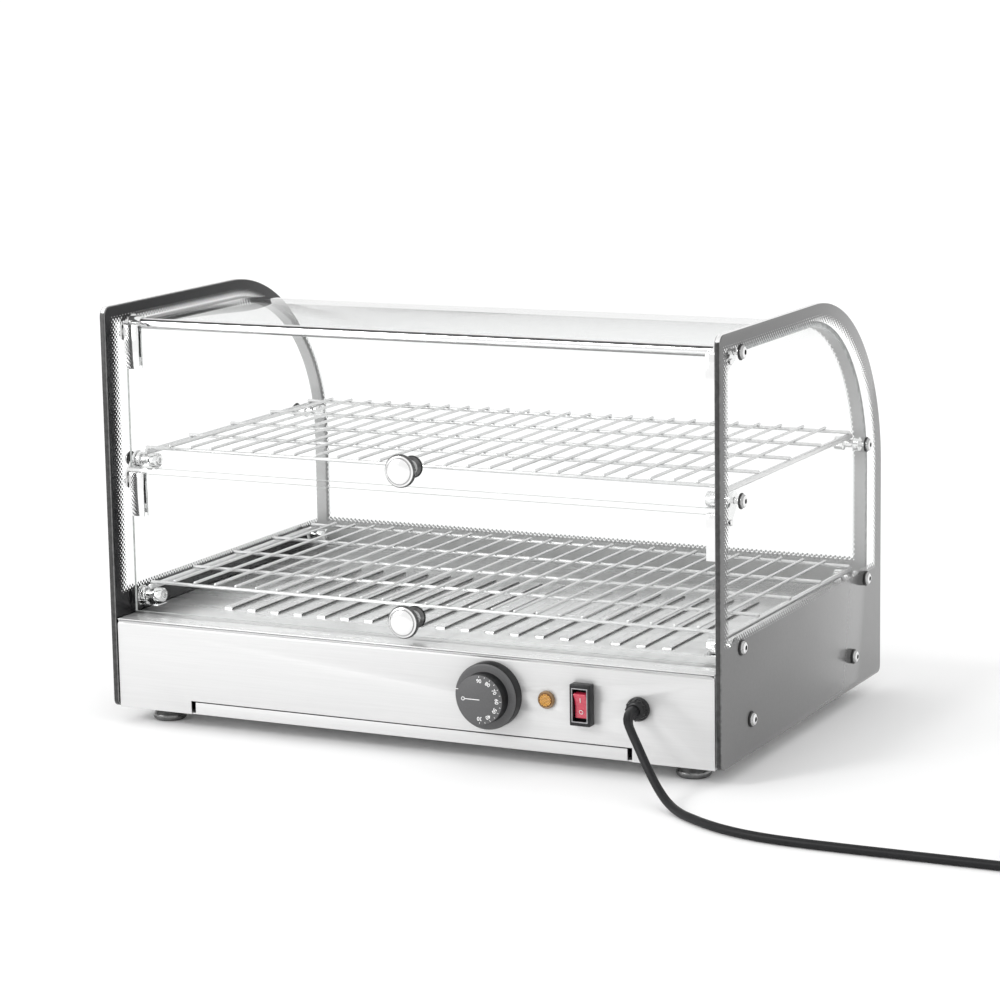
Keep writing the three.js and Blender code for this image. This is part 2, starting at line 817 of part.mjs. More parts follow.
const lampNutSeat = panelBack + fitGap;
addControl('pilot_lamp', lampX, [
  [0, panelFace - 3.4],
  [lampDiameter * 0.3, panelFace - 3],
  [lampDiameter * 0.44, panelFace - 1.8],
  [lampDiameter / 2, panelFace - 1.4],
  [lampDiameter / 2, panelFace - fitGap],
  [lampBodyDiameter / 2, panelFace - fitGap],
  [lampBodyDiameter / 2, lampNutSeat],
  [lampDiameter / 2, lampNutSeat],
  [lampDiameter / 2, lampNutSeat + 3],
  [lampBodyDiameter / 2, lampNutSeat + 3],
  [lampBodyDiameter / 2, lampNutSeat + 16],
  [0, lampNutSeat + 16],
], amberLens, 16);

const glandNutSeat = panelBack + fitGap;
const glandFront = panelFace - glandReach;
addControl('cord_gland', glandX, [
  [0, glandFront],
  [glandDiameter * 0.36, glandFront],
  [glandDiameter * 0.42, glandFront + 1],
  [glandDiameter * 0.44, panelFace - 3.6],
  [glandDiameter / 2, panelFace - 3],
  [glandDiameter / 2, panelFace - fitGap],
  [glandBodyDiameter / 2, panelFace - fitGap],
  [glandBodyDiameter / 2, glandNutSeat],
  [glandDiameter / 2 + 1, glandNutSeat],
  [glandDiameter / 2 + 1, glandNutSeat + 5],
  [0, glandNutSeat + 5],
], blackPlastic, 16);

// The switch's housing has a deep pocket in which the rocker swings.
const bezelFront = panelFace - fitGap - bezelDepth;
const rockerPivotY = bezelFront + 6.4;
const switchHousing = () => {
  const halfWide = bezelWidth / 2;
  const halfHigh = bezelHeight / 2;
  const bezel = block(
    switchX - halfWide,
    switchX + halfWide,
    bezelFront,
    panelFace - fitGap,
    controlZ - halfHigh,
    controlZ + halfHigh,
  );
  const inner = block(
    switchX - switchBodyWidth / 2,
    switchX + switchBodyWidth / 2,
    panelFace - 1,
    panelBack + switchBodyDepth,
    controlZ - switchBodyHeight / 2,
    controlZ + switchBodyHeight / 2,
  );
  const pocket = block(
    switchX - rockerWidth / 2 - fitGap,
    switchX + rockerWidth / 2 + fitGap,
    bezelFront - 1,
    rockerPivotY + 6,
    controlZ - rockerHeight / 2 - 2.4,
    controlZ + rockerHeight / 2 + 2.4,
  );
  return cut(fuse(bezel, inner), pocket);
};
add('switch_housing', switchHousing(), blackPlastic);

const rocker = () => {
  const half = rockerHeight / 2;
  const outline = new THREE.Shape([
    new THREE.Vector2(-5.2, half),
    new THREE.Vector2(-3.4, 0),
    new THREE.Vector2(-5.2, -half),
    new THREE.Vector2(1, -half + 2),
    new THREE.Vector2(2.6, 0),
    new THREE.Vector2(1, half - 2),
  ]);
  return sheetAcross(outline, -rockerWidth / 2, rockerWidth / 2);
};
const switchRocker = add('switch_rocker', rocker(), redLens);
switchRocker.position.set(switchX, rockerPivotY, controlZ);
switchRocker.rotation.x = THREE.MathUtils.degToRad(rockerTilt);

// ---------------------------------------------------------------- feet
// A turned cup with a stud through the base and a nut inside.
const footProfile = () => {
  const radius = footDiameter / 2;
  const top = paneBottom - fitGap;
  const nutSeat = paneBottom + baseSheet + fitGap;
  return [
    [0, 0],
    [radius * 0.86, 0],
    [radius * 0.97, 1.2],
    [radius, 3],
    [radius * 0.96, 5.4],
    [radius * 0.72, top],
    [boltDiameter / 2, top],
    [boltDiameter / 2, nutSeat],
    [nutDiameter / 2, nutSeat],
    [nutDiameter / 2, nutSeat + nutThickness],
    [0, nutSeat + nutThickness],
  ];
};
const footNames = ['foot_front_left', 'foot_rear_left', 'foot_front_right', 'foot_rear_right'];
footPlaces.forEach(([x, y], i) => {
  const foot = add(footNames[i], turned(footProfile(), 16), polished);
  foot.rotation.x = Math.PI / 2;
  foot.position.set(x, y, 0);
});

// ---------------------------------------------------------------- mains cord
// The route is in the object's own frame: out of the gland, down to the floor and away to the right,
// to the coil of spare length. Heights are those of the cord's middle.
const cordStart = glandFront + caseShift - 2 * fitGap;
const cordRoute = [
  [glandX, cordStart, controlZ],
  [glandX, cordStart - 3, controlZ],
  [208.2, -192.2, 56.4],
  [211.5, -200.4, 53.2],
  [216.7, -206.4, 48.2],
  [224.3, -212.9, 40.4],
  [232.8, -219.4, 30.6],
  [242.2, -226.6, 20.7],
  [252.6, -235, 12.1],
  [264.2, -244.6, 6.2],
  [277, -255, 3.7],
  [292, -266.2, 3.7],
  [310, -277, 3.7],
  [331, -286, 3.7],
  [356, -292, 3.7],
  [386, -294.6, 3.7],
  [420, -295, 3.7],
  [460, -294.4, 3.7],
  [505, -293.6, 3.7],
  [540, -293.2, 3.7],
  [563, -293.1, 3.7],
];

const cordCurve = new THREE.CatmullRomCurve3(
  cordRoute.map(([x, y, z]) => new THREE.Vector3(x, y, z)),
  false,
  'centripetal',
);
addTo(displayCase, 'power_cord', new THREE.ExtrudeGeometry(disc(cordDiameter / 2, cordSides), {
  steps: 30,
  extrudePath: cordCurve,
  bevelEnabled: false,
}), blackRubber);

// Turns lie two side by side and three high.
const coilOutside = coilTurnRadius + cordDiameter;
const coilInside = coilTurnRadius - cordDiameter;
const coilHeight = cordDiameter * 3;
const coil = addTo(displayCase, 'cord_coil', turned([
  [coilInside, 0.2],
  [coilOutside, 0.2],
  [coilOutside, coilHeight + 0.2],
  [coilInside, coilHeight + 0.2],
  [coilInside, 0.2],
], 36), blackRubber);
coil.rotation.x = Math.PI / 2;
coil.position.set(coilCentre[0], coilCentre[1], 0);

// The plug lies beside the coil with its pins pointing back along y.
const plugTailX = coilTurnRadius + cordDiameter / 2;
const plugTailY = Math.sqrt((coilOutside + cordDiameter / 2 + 1.5) ** 2 - plugTailX ** 2);
const mainsPlug = () => {
  const radius = plugBodyDiameter / 2;
  const relief = cordDiameter / 2 + 1;
  const shell = turned([
    [0, 0],
    [relief, 0],
    [relief + 1.4, plugReliefLength],
    [radius * 0.62, plugReliefLength + 5],
    [radius * 0.92, plugReliefLength + 14],
    [radius, plugReliefLength + 20],
    [radius, plugReliefLength + plugBodyLength],
    [0, plugReliefLength + plugBodyLength],
  ], 20);
  const face = plugReliefLength + plugBodyLength;
  const pins = [-1, 1].map((side) => (
    barBack(plugPinDiameter, (side * plugPinPitch) / 2, face - 1, face + plugPinLength, 0, 10)
  ));
  return fuse(shell, ...pins);
};
const plug = addTo(displayCase, 'mains_plug', mainsPlug(), blackRubber);
plug.position.set(
  coilCentre[0] + plugTailX,
  coilCentre[1] + plugTailY,
  plugBodyDiameter / 2 + 0.2,
);

export default displayCase;
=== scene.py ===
import math
from functools import partial
import bmesh
import bpy
from mathutils import Matrix, Vector


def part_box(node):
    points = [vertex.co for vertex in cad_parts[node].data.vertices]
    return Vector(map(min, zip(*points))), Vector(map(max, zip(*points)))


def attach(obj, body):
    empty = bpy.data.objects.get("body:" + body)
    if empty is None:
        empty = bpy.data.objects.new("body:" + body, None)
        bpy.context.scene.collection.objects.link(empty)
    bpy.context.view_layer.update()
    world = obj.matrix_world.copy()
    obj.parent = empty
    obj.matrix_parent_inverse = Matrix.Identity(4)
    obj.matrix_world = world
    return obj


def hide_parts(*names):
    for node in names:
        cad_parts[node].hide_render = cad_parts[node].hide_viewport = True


# Hot food display case. Sizes in the dictionaries are millimetres in the case's own measure:
# x from the middle, y back from the front edges of the side panes, z up from the floor.
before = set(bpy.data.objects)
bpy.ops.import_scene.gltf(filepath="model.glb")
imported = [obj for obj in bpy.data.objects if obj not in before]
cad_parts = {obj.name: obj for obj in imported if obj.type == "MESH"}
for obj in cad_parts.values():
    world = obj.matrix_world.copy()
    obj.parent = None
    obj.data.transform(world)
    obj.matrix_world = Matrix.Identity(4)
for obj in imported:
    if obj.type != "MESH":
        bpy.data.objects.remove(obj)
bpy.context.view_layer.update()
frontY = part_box("side_pane_right")[0].y
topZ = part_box("side_pane_right")[1].z
print("frame loaded", len(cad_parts), "nodes")


def at(x, y, z):
    return Vector((x / 1000, frontY + y / 1000, z / 1000))


# Where the controls sit on the front panel: x of each, and the height that they share.
controls = {"z": 57.5, "dial": 79.0, "lamp": 128.0, "switch": 160.4, "gland": 207.0}


# Camera.
shot = {"place": (1.2048, -2.4334, 0.6772), "yaw": 0.4579, "pitch": -0.1811, "roll": -0.0163, "lens": 117.4,
        "sensor": 36, "near": 0.05, "far": 60}


def aimCamera():
    cameraData = bpy.data.cameras.new("camera")
    cameraData.lens = shot["lens"]
    cameraData.sensor_width = shot["sensor"]
    cameraData.clip_start = shot["near"]
    cameraData.clip_end = shot["far"]
    camera = bpy.data.objects.new("camera", cameraData)
    bpy.context.scene.collection.objects.link(camera)
    yaw, pitch, roll = shot["yaw"], shot["pitch"], shot["roll"]
    forward = Vector((-math.sin(yaw) * math.cos(pitch), math.cos(yaw) * math.cos(pitch), math.sin(pitch)))
    level = Vector((math.cos(yaw), math.sin(yaw), 0))
    upright = level.cross(forward)
    right = level * math.cos(roll) + upright * math.sin(roll)
    up = upright * math.cos(roll) - level * math.sin(roll)
    turn = Matrix((right, up, -forward)).transposed().to_4x4()
    camera.matrix_world = Matrix.Translation(shot["place"]) @ turn
    bpy.context.scene.camera = camera


aimCamera()


# Material helpers.
def newMaterial(name):
    material = bpy.data.materials.new(name)
    material.use_nodes = True
    nodes = material.node_tree.nodes
    nodes.clear()
    output = nodes.new("ShaderNodeOutputMaterial")
    return material, nodes, material.node_tree.links, output


# A new shader node with these values on its sockets.
def addNode(nodes, kind, values):
    node = nodes.new(f"ShaderNode{kind}")
    for socket, value in values.items():
        node.inputs[socket].default_value = value
    return node


def mathNode(nodes, links, operation, first, second=None, third=None):
    node = nodes.new("ShaderNodeMath")
    node.operation = operation
    for socket, value in zip(node.inputs, (first, second, third)):
        if value is None:
            continue
        if isinstance(value, (int, float)):
            socket.default_value = value
        else:
            links.new(value, socket)
    return node.outputs[0]


def noise(nodes, links, scale, detail=3, stretch=(1, 1, 1)):
    coords = nodes.new("ShaderNodeTexCoord")
    mapping = addNode(nodes, "Mapping", {"Scale": stretch})
    texture = addNode(nodes, "TexNoise", {"Scale": scale, "Detail": detail})
    links.new(coords.outputs["Object"], mapping.inputs["Vector"])
    links.new(mapping.outputs["Vector"], texture.inputs["Vector"])
    return texture.outputs["Fac"]


def ramp(nodes, links, source, stops):
    node = nodes.new("ShaderNodeValToRGB")
    elements = node.color_ramp.elements
    while len(elements) < len(stops):
        elements.new(0.5)
    for element, (position, colour) in zip(elements, stops):
        element.position = position
        element.color = (*colour, 1)
    links.new(source, node.inputs["Fac"])
    return node.outputs["Color"]


def spread(nodes, links, source, low, high):
    node = addNode(nodes, "MapRange", {"To Min": low, "To Max": high})
    links.new(source, node.inputs["Value"])
    return node.outputs["Result"]


def bump(nodes, links, source, strength, distance):
    node = addNode(nodes, "Bump", {"Strength": strength, "Distance": distance})
    links.new(source, node.inputs["Height"])
    return node.outputs["Normal"]


# One patterned surface: colour and roughness drift with a noise, and a fine bump.
# A colour given as one number is a grey.
def mixedMaterial(name, low, high, roughness, metallic, scale, stretch=(1, 1, 1), bumpBy=0.0, coat=0.0,
                  spec=0.5):
    material, nodes, links, output = newMaterial(name)
    low, high = [colour if isinstance(colour, tuple) else (colour, colour, colour)
                 for colour in (low, high)]
    shader = addNode(nodes, "BsdfPrincipled", {"Metallic": metallic, "Specular IOR Level": spec,
                                               "Coat Weight": coat})
    pattern = noise(nodes, links, scale, 4, stretch)
    links.new(ramp(nodes, links, pattern, [(0.3, low), (0.7, high)]), shader.inputs["Base Color"])
    links.new(spread(nodes, links, pattern, roughness[0], roughness[1]), shader.inputs["Roughness"])
    if bumpBy:
        links.new(bump(nodes, links, pattern, bumpBy, 0.0003), shader.inputs["Normal"])
    links.new(shader.outputs["BSDF"], output.inputs["Surface"])
    return material


# brushed sheet: grain runs along the front
panelSteel = mixedMaterial('panelSteel', 0.65, 0.68, (0.3, 0.38), metallic=0.35, scale=900,
    stretch=(0.015, 1, 1), bumpBy=0.02)
mirrorSteel = mixedMaterial('mirrorSteel', 0.8, 0.86, (0.06, 0.11), metallic=1.0, scale=60, bumpBy=0.01)
deckSteel = mixedMaterial('deckSteel', 0.66, 0.86, (0.2, 0.32), metallic=0.6, scale=40,
    stretch=(0.15, 1, 1))
# painted shade for the slots under the louvre hoods
slotSteel = mixedMaterial('slotSteel', 0.62, 0.74, (0.3, 0.4), metallic=0.4, scale=60, stretch=(1, 0.1, 1))
# darker and grey copies of chrome, painted on polished parts as painted reflections and shade
darkChrome = mixedMaterial('darkChrome', 0.07, 0.16, (0.1, 0.16), metallic=0.9, scale=200)
footChrome = mixedMaterial('footChrome', 0.16, 0.26, (0.1, 0.16), metallic=1.0, scale=200)
greyChrome = mixedMaterial('greyChrome', 0.38, 0.5, (0.08, 0.14), metallic=1.0, scale=200)
wireSteel = mixedMaterial('wireSteel', 0.66, 0.78, (0.16, 0.24), metallic=0.6, scale=400)
dialPlastic = mixedMaterial('dialPlastic', (0.082, 0.082, 0.084), (0.1, 0.1, 0.102), (0.42, 0.52),
    metallic=0, scale=1500, bumpBy=0.15)
blackPlastic = mixedMaterial('blackPlastic', (0.008, 0.008, 0.009), (0.015, 0.015, 0.016), (0.28, 0.4),
    metallic=0, scale=900, bumpBy=0.1, spec=0.35)
cordRubber = mixedMaterial('cordRubber', (0.006, 0.006, 0.007), (0.013, 0.013, 0.014), (0.4, 0.5),
    metallic=0, scale=700, bumpBy=0.12, spec=0.25)
# black rubber for the washers, also painted as shade in the bolt sockets and the vent holes
washerRubber = mixedMaterial('washerRubber', 0.006, 0.015, (0.5, 0.6), metallic=0, scale=900)
scalePaint = mixedMaterial('scalePaint', 0.8, 0.9, (0.5, 0.6), metallic=0, scale=900)
amberPlastic = mixedMaterial('amberPlastic', (0.78, 0.36, 0.04), (0.92, 0.52, 0.1), (0.08, 0.2), metallic=0,
    scale=700, bumpBy=0.3, coat=0.6)
amberDeep = mixedMaterial('amberDeep', (0.16, 0.06, 0.008), (0.24, 0.1, 0.015), (0.12, 0.2), metallic=0,
    scale=700, bumpBy=0.1, coat=0.4)
rimPlastic = mixedMaterial('rimPlastic', (0.2, 0.12, 0.05), (0.3, 0.18, 0.08), (0.2, 0.3), metallic=0,
    scale=700, bumpBy=0.1, coat=0.4)
rockerPlastic = mixedMaterial('rockerPlastic', (0.5, 0.02, 0.06), (0.62, 0.05, 0.09), (0.12, 0.2),
    metallic=0, scale=500, bumpBy=0.04, coat=1.0)
heaterSheath = mixedMaterial('heaterSheath', (0.1, 0.09, 0.08), (0.2, 0.19, 0.17), (0.4, 0.55),
    metallic=0.9, scale=200)
innerSteel = mixedMaterial('innerSteel', 0.45, 0.55, (0.3, 0.4), metallic=0.9, scale=300,
    stretch=(0.05, 1, 1))
print("plain materials made")


# Glass and its printed band.
def mixShaders(nodes, links, share, first, second):
    mixer = nodes.new("ShaderNodeMixShader")
    for source, socket in zip((share, first, second), mixer.inputs):
        links.new(source, socket)
    return mixer.outputs[0]


# Clear sheet: lets light through, and mirrors more at a slant.
def glassShader(nodes, links, tint, gloss, mirrored=0.9):
    calc = partial(mathNode, nodes, links)
    clear = addNode(nodes, "BsdfTransparent", {"Color": (*tint, 1)})
    shine = addNode(nodes, "BsdfPrincipled", {"Base Color": (mirrored, mirrored, mirrored, 1),
                                              "Metallic": 1.0, "Roughness": 0.02})
    slant = addNode(nodes, "Fresnel", {"IOR": 1.45})
    # only the face that the light comes in by mirrors, so that none is trapped inside the sheet
    side = nodes.new("ShaderNodeNewGeometry")
    outside = calc("SUBTRACT", 1.0, side.outputs["Backfacing"])
    share = calc("MULTIPLY", calc("MULTIPLY", slant.outputs[0], gloss), outside)
    return mixShaders(nodes, links, share, clear.outputs[0], shine.outputs[0])


def clearGlass(name, tint, gloss):
    material, nodes, links, output = newMaterial(name)
    links.new(glassShader(nodes, links, tint, gloss), output.inputs["Surface"])
    return material


# 1 where the print covers: solid up to a depth, then dots that shrink until they end.
def printDots(nodes, links, across, along, depth, solid, fade, pitch):
    calc = partial(mathNode, nodes, links)
    def dotDistance(shift):
        parts = []
        for source in (across, along):
            cell = calc("FRACT", calc("MULTIPLY_ADD", source, 1 / pitch, shift))
            offset = calc("MULTIPLY", calc("SUBTRACT", cell, 0.5), pitch)
            parts.append(calc("MULTIPLY", offset, offset))
        return calc("SQRT", calc("ADD", *parts))

    nearest = calc("MINIMUM", dotDistance(0.0), dotDistance(0.5))
    fall = calc("MULTIPLY_ADD", depth, -1 / fade, (solid + fade) / fade)
    radius = calc("MULTIPLY_ADD", fall, pitch * 0.28, pitch * 0.19)
    dot = calc("LESS_THAN", nearest, radius)
    inBand = calc("LESS_THAN", depth, solid + fade)
    full = calc("LESS_THAN", depth, solid)
    return calc("MAXIMUM", full, calc("MULTIPLY", dot, inBand))


# X, y and z of the surface in the case's millimetres.
def caseMeasures(nodes, links):
    calc = partial(mathNode, nodes, links)
    coords = nodes.new("ShaderNodeTexCoord")
    split = nodes.new("ShaderNodeSeparateXYZ")
    links.new(coords.outputs["Object"], split.inputs[0])
    x = calc("MULTIPLY", split.outputs[0], 1000)
    y = calc("MULTIPLY_ADD", split.outputs[1], 1000, -frontY * 1000)
    z = calc("MULTIPLY", split.outputs[2], 1000)
    return x, y, z


def printedShader(nodes, links, colour, roughness, spec):
    shader = addNode(nodes, "BsdfPrincipled", {"Roughness": roughness, "Specular IOR Level": spec})
    pattern = noise(nodes, links, 300, 3)
    links.new(ramp(nodes, links, pattern, [(0.2, tuple(0.94 * c for c in colour)), (0.8, colour)]),
              shader.inputs["Base Color"])
    return shader.outputs["BSDF"]


sidePrint = {"solid": 8.5, "fade": 7.5, "pitch": 4.3, "baseTop": 108.0, "frontShare": 0.7}


def sideGlass(name, colour, roughness, spec, drift, baseOnly=False):
    material, nodes, links, output = newMaterial(name)
    calc = partial(mathNode, nodes, links)
    y, z = caseMeasures(nodes, links)[1:]
    # the glass in front of the print moves it towards the front
    y = calc("ADD", y, drift)
    pastY = calc("MAXIMUM", calc("SUBTRACT", y, paneSize["depth"] - paneSize["bend"]), 0)
    pastZ = calc("MAXIMUM", calc("SUBTRACT", z, paneSize["top"] - paneSize["bend"]), 0)
    reach = calc("SQRT", calc("MULTIPLY_ADD", pastY, pastY, calc("MULTIPLY", pastZ, pastZ)))
    fromBend = calc("SUBTRACT", paneSize["bend"], reach)
    fromBase = calc("SUBTRACT", z, sidePrint["baseTop"] - sidePrint["solid"])
    # the dots run further in from the front edge than from the others
    past = calc("MAXIMUM", calc("SUBTRACT", y, sidePrint["solid"]), 0)
    fromFront = calc("MULTIPLY_ADD", past, sidePrint["frontShare"] - 1, y)
    depth = calc("MINIMUM", calc("MINIMUM", fromFront, fromBend), fromBase)
    if baseOnly:
        mask = calc("LESS_THAN", fromBase, sidePrint["solid"])
    else:
        mask = printDots(nodes, links, z, y, depth, sidePrint["solid"], sidePrint["fade"],
                         sidePrint["pitch"])
    clear = glassShader(nodes, links, (0.998, 1.0, 0.999), 0.35)
    printed = printedShader(nodes, links, colour, roughness, spec)
    links.new(mixShaders(nodes, links, mask, clear, printed), output.inputs["Surface"])
    return material


bentPrint = {"side": 9.0, "fade": 2.5, "bottom": 20.0, "bottomFade": 7.0, "pitch": 4.3}


def bentGlass(name, colour):
    material, nodes, links, output = newMaterial(name)
    calc = partial(mathNode, nodes, links)
    x, y, z = caseMeasures(nodes, links)
    fromSide = calc("SUBTRACT", bentSize["half"], calc("ABSOLUTE", x))
    lift = calc("SUBTRACT", z, bentSize["bottom"])
    sideMask = printDots(nodes, links, z, x, fromSide, bentPrint["side"], bentPrint["fade"],
                         bentPrint["pitch"])
    lowMask = printDots(nodes, links, z, x, lift, bentPrint["bottom"], bentPrint["bottomFade"],
                        bentPrint["pitch"])
    behind = calc("GREATER_THAN", y, 300)
    mask = calc("MAXIMUM", sideMask, calc("MULTIPLY", lowMask, behind))
    clear = glassShader(nodes, links, (0.995, 0.998, 0.997), 1.0, 0.38)
    printed = printedShader(nodes, links, colour, 0.3, 0.5)
    links.new(mixShaders(nodes, links, mask, clear, printed), output.inputs["Surface"])
    return material


paneSize = {"depth": 364.0, "top": topZ * 1000, "bottom": 14.0, "bend": 157.0, "thick": 5.0, "inner": 272.0}
bentSize = {"half": 269.8, "front": 42.6, "rear": 349.0, "top": topZ * 1000 - 15, "bottom": 90.5,
            "bend": 142.0, "thick": 5.0}
outerPrint = sideGlass("outerPrint", (0.16, 0.16, 0.16), 0.12, 0.5, 3.5)
innerPrint = sideGlass("innerPrint", (0.012, 0.012, 0.013), 0.2, 0.3, 0)
outerBase = sideGlass("outerBase", (0.16, 0.16, 0.16), 0.12, 0.5, 0, True)
barePane = clearGlass("barePane", (0.998, 1.0, 0.999), 0.35)
bentPaneGlass = bentGlass("bentPaneGlass", (0.42, 0.42, 0.42))
doorGlass = clearGlass("doorGlass", (0.997, 1.0, 0.999), 0.35)
paneEdge = mixedMaterial('paneEdge', 0.015, 0.04, (0.15, 0.25), metallic=0, scale=300)
# painted highlight for the pane edges that face up and back
paneEdgeLight = mixedMaterial('paneEdgeLight', 0.62, 0.8, (0.1, 0.2), metallic=0, scale=300)
bentEdge = mixedMaterial('bentEdge', (0.34, 0.35, 0.35), (0.55, 0.56, 0.56), (0.1, 0.2), metallic=0.2,
    scale=200)
doorEdge = mixedMaterial('doorEdge', (0.45, 0.47, 0.46), (0.7, 0.72, 0.71), (0.1, 0.2), metallic=0.2,
    scale=200)
# painted reflection for the bevelled rim of the side panes
paneBevel = mixedMaterial('paneBevel', 0.1, 0.18, (0.1, 0.2), metallic=0, scale=300)
print("glass and printed bands made")


# Modelling helpers.
def clearSelection():
    if bpy.context.object and bpy.context.object.mode != "OBJECT":
        bpy.ops.object.mode_set(mode="OBJECT")
    bpy.ops.object.select_all(action="DESELECT")


def rename(piece, name):
    piece.name = name
    piece.data.name = name
    return piece


def named(name):
    return rename(bpy.context.object, name)


# The piece name for a node: front_panel becomes frontPanel.
def pieceName(node):
    first, *rest = node.split("_")
    return first + "".join(word.capitalize() for word in rest)


def activate(piece):
    clearSelection()
    piece.select_set(True)
    bpy.context.view_layer.objects.active = piece


def fixPlace(piece):
    activate(piece)
    bpy.ops.object.transform_apply(location=True, rotation=True, scale=True)


def addBlock(name, low, high):
    clearSelection()
    middle = (Vector(low) + Vector(high)) / 2
    bpy.ops.mesh.primitive_cube_add(size=1, location=middle)
    piece = named(name)
    piece.scale = Vector(high) - Vector(low)
    fixPlace(piece)
    return piece


# Edit mode, with the faces or the edges that pass the test selected.
def editParts(piece, kind, test):
    activate(piece)
    bpy.ops.object.mode_set(mode="EDIT")
    bpy.ops.mesh.select_mode(type=kind)
    bpy.ops.mesh.select_all(action="DESELECT")
    mesh = bmesh.from_edit_mesh(piece.data)
    for part in mesh.faces if kind == "FACE" else mesh.edges:
        part.select_set(bool(test(part)))
    bmesh.update_edit_mesh(piece.data)


def leaveEdit(recalculate=True):
    if recalculate:
        bpy.ops.mesh.select_all(action="SELECT")
        bpy.ops.mesh.normals_make_consistent(inside=False)
    bpy.ops.object.mode_set(mode="OBJECT")


def removeFaces(piece, test, recalculate=False):
    editParts(piece, "FACE", test)
    bpy.ops.mesh.delete(type="FACE")
    leaveEdit(recalculate)


def bevelEdges(piece, radius, segments, test, recalculate=True):
    editParts(piece, "EDGE", test)
    bpy.ops.mesh.bevel(offset=radius / 1000, segments=segments, affect="EDGES")
    leaveEdit(recalculate)


# A test for an edge that runs across the case through this place, y and z in metres.
def edgeAt(y, z):
    return lambda edge: all(abs(v.co.y - y) < 1e-5 and abs(v.co.z - z) < 1e-5 for v in edge.verts)


def applyModifier(piece, kind, **settings):
    modifier = piece.modifiers.new(kind.lower(), kind)
    for key, value in settings.items():
        setattr(modifier, key, value)
    activate(piece)
    bpy.ops.object.modifier_apply(modifier=modifier.name)


def softenEdges(piece, width, segments=2, angle=35):
    applyModifier(piece, "BEVEL", width=width, segments=segments, limit_method="ANGLE",
                  angle_limit=math.radians(angle))


# Copies of the piece in a row, each one step in metres past the last.
def repeatPiece(piece, count, step):
    applyModifier(piece, "ARRAY", count=count, use_relative_offset=False, use_constant_offset=True,
                  constant_offset_displace=step)


def smooth(piece, angle=35):
    activate(piece)
    bpy.ops.object.shade_smooth_by_angle(angle=math.radians(angle))


# Rings of (radius, distance) in mm pulled out one after another along the axis from the centre.
def turnPiece(name, profile, centre, axis, sides=40):
    clearSelection()
    radius, along = profile[0]
    bpy.ops.mesh.primitive_circle_add(vertices=sides, radius=radius / 1000, fill_type="NGON",
                                      location=(0, 0, along / 1000))
    piece = named(name)
    fixPlace(piece)
    bpy.ops.object.mode_set(mode="EDIT")
    bpy.ops.mesh.select_mode(type="FACE")
    bpy.ops.mesh.select_all(action="SELECT")
    for nextRadius, nextAlong in profile[1:]:
        bpy.ops.mesh.extrude_region_move(
            TRANSFORM_OT_translate={"value": (0, 0, (nextAlong - along) / 1000)})
        if abs(nextRadius - radius) > 1e-9:
            grow = nextRadius / radius
            bpy.ops.transform.resize(value=(grow, grow, 1), center_override=(0, 0, nextAlong / 1000))
        radius, along = nextRadius, nextAlong
    leaveEdit()
    turn = Vector((0, 0, 1)).rotation_difference(Vector(axis)).to_matrix().to_4x4()
    piece.matrix_world = Matrix.Translation(centre) @ turn
    fixPlace(piece)
    smooth(piece)
    return piece


def joinPieces(name, pieces):
    clearSelection()
    for piece in pieces:
        piece.select_set(True)
    bpy.context.view_layer.objects.active = pieces[0]
    if len(pieces) > 1:
        bpy.ops.object.join()
    return named(name)


def addTwin(piece, name):
    twin = piece.copy()
    twin.data = piece.data.copy()
    rename(twin, name)
    bpy.context.scene.collection.objects.link(twin)
    return twin


def copyPiece(piece, name, move):
    twin = addTwin(piece, name)
    twin.location = Vector(move) / 1000
    fixPlace(twin)
    return twin


def mirrorPiece(piece, name):
    twin = addTwin(piece, name)
    twin.scale = (-1, 1, 1)
    fixPlace(twin)
    editParts(twin, "FACE", lambda face: True)
    leaveEdit()
    return twin


def paint(piece, material):
    piece.data.materials.clear()
    piece.data.materials.append(material)


def paintFaces(piece, material, test):
    piece.data.materials.append(material)
    index = len(piece.data.materials) - 1
    for polygon in piece.data.polygons:
        if test(polygon):
            polygon.material_index = index


def seat(piece, body, slot, *nodes):
    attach(piece, body)
    if nodes:
        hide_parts(*nodes)
    return piece


# Mains cord.
cordSize = {"diameter": 7.0, "length": 1.5, "centre": (590.0, -251.1), "outer": 42.0, "inner": 35.0,
            "level": 3.7, "perTurn": 24, "coiled": 1530, "relief": 22.5}
cordRoute = [
    (207, -180, 57.5), (207, -183, 57.5), (208.2, -192.2, 56.4), (211.5, -200.4, 53.2),
    (216.7, -206.4, 48.2), (224.3, -212.9, 40.4), (232.8, -219.4, 30.6), (242.2, -226.6, 20.7),
    (252.6, -235, 12.1), (264.2, -244.6, 6.2), (277, -255, 3.7), (292, -266.2, 3.7),
    (310, -277, 3.7), (331, -286, 3.7), (356, -292, 3.7), (386, -294.6, 3.7),
    (420, -295, 3.7), (460, -294.4, 3.7), (505, -293.6, 3.7), (540, -293.2, 3.7),
    (563, -293.1, 3.7)]


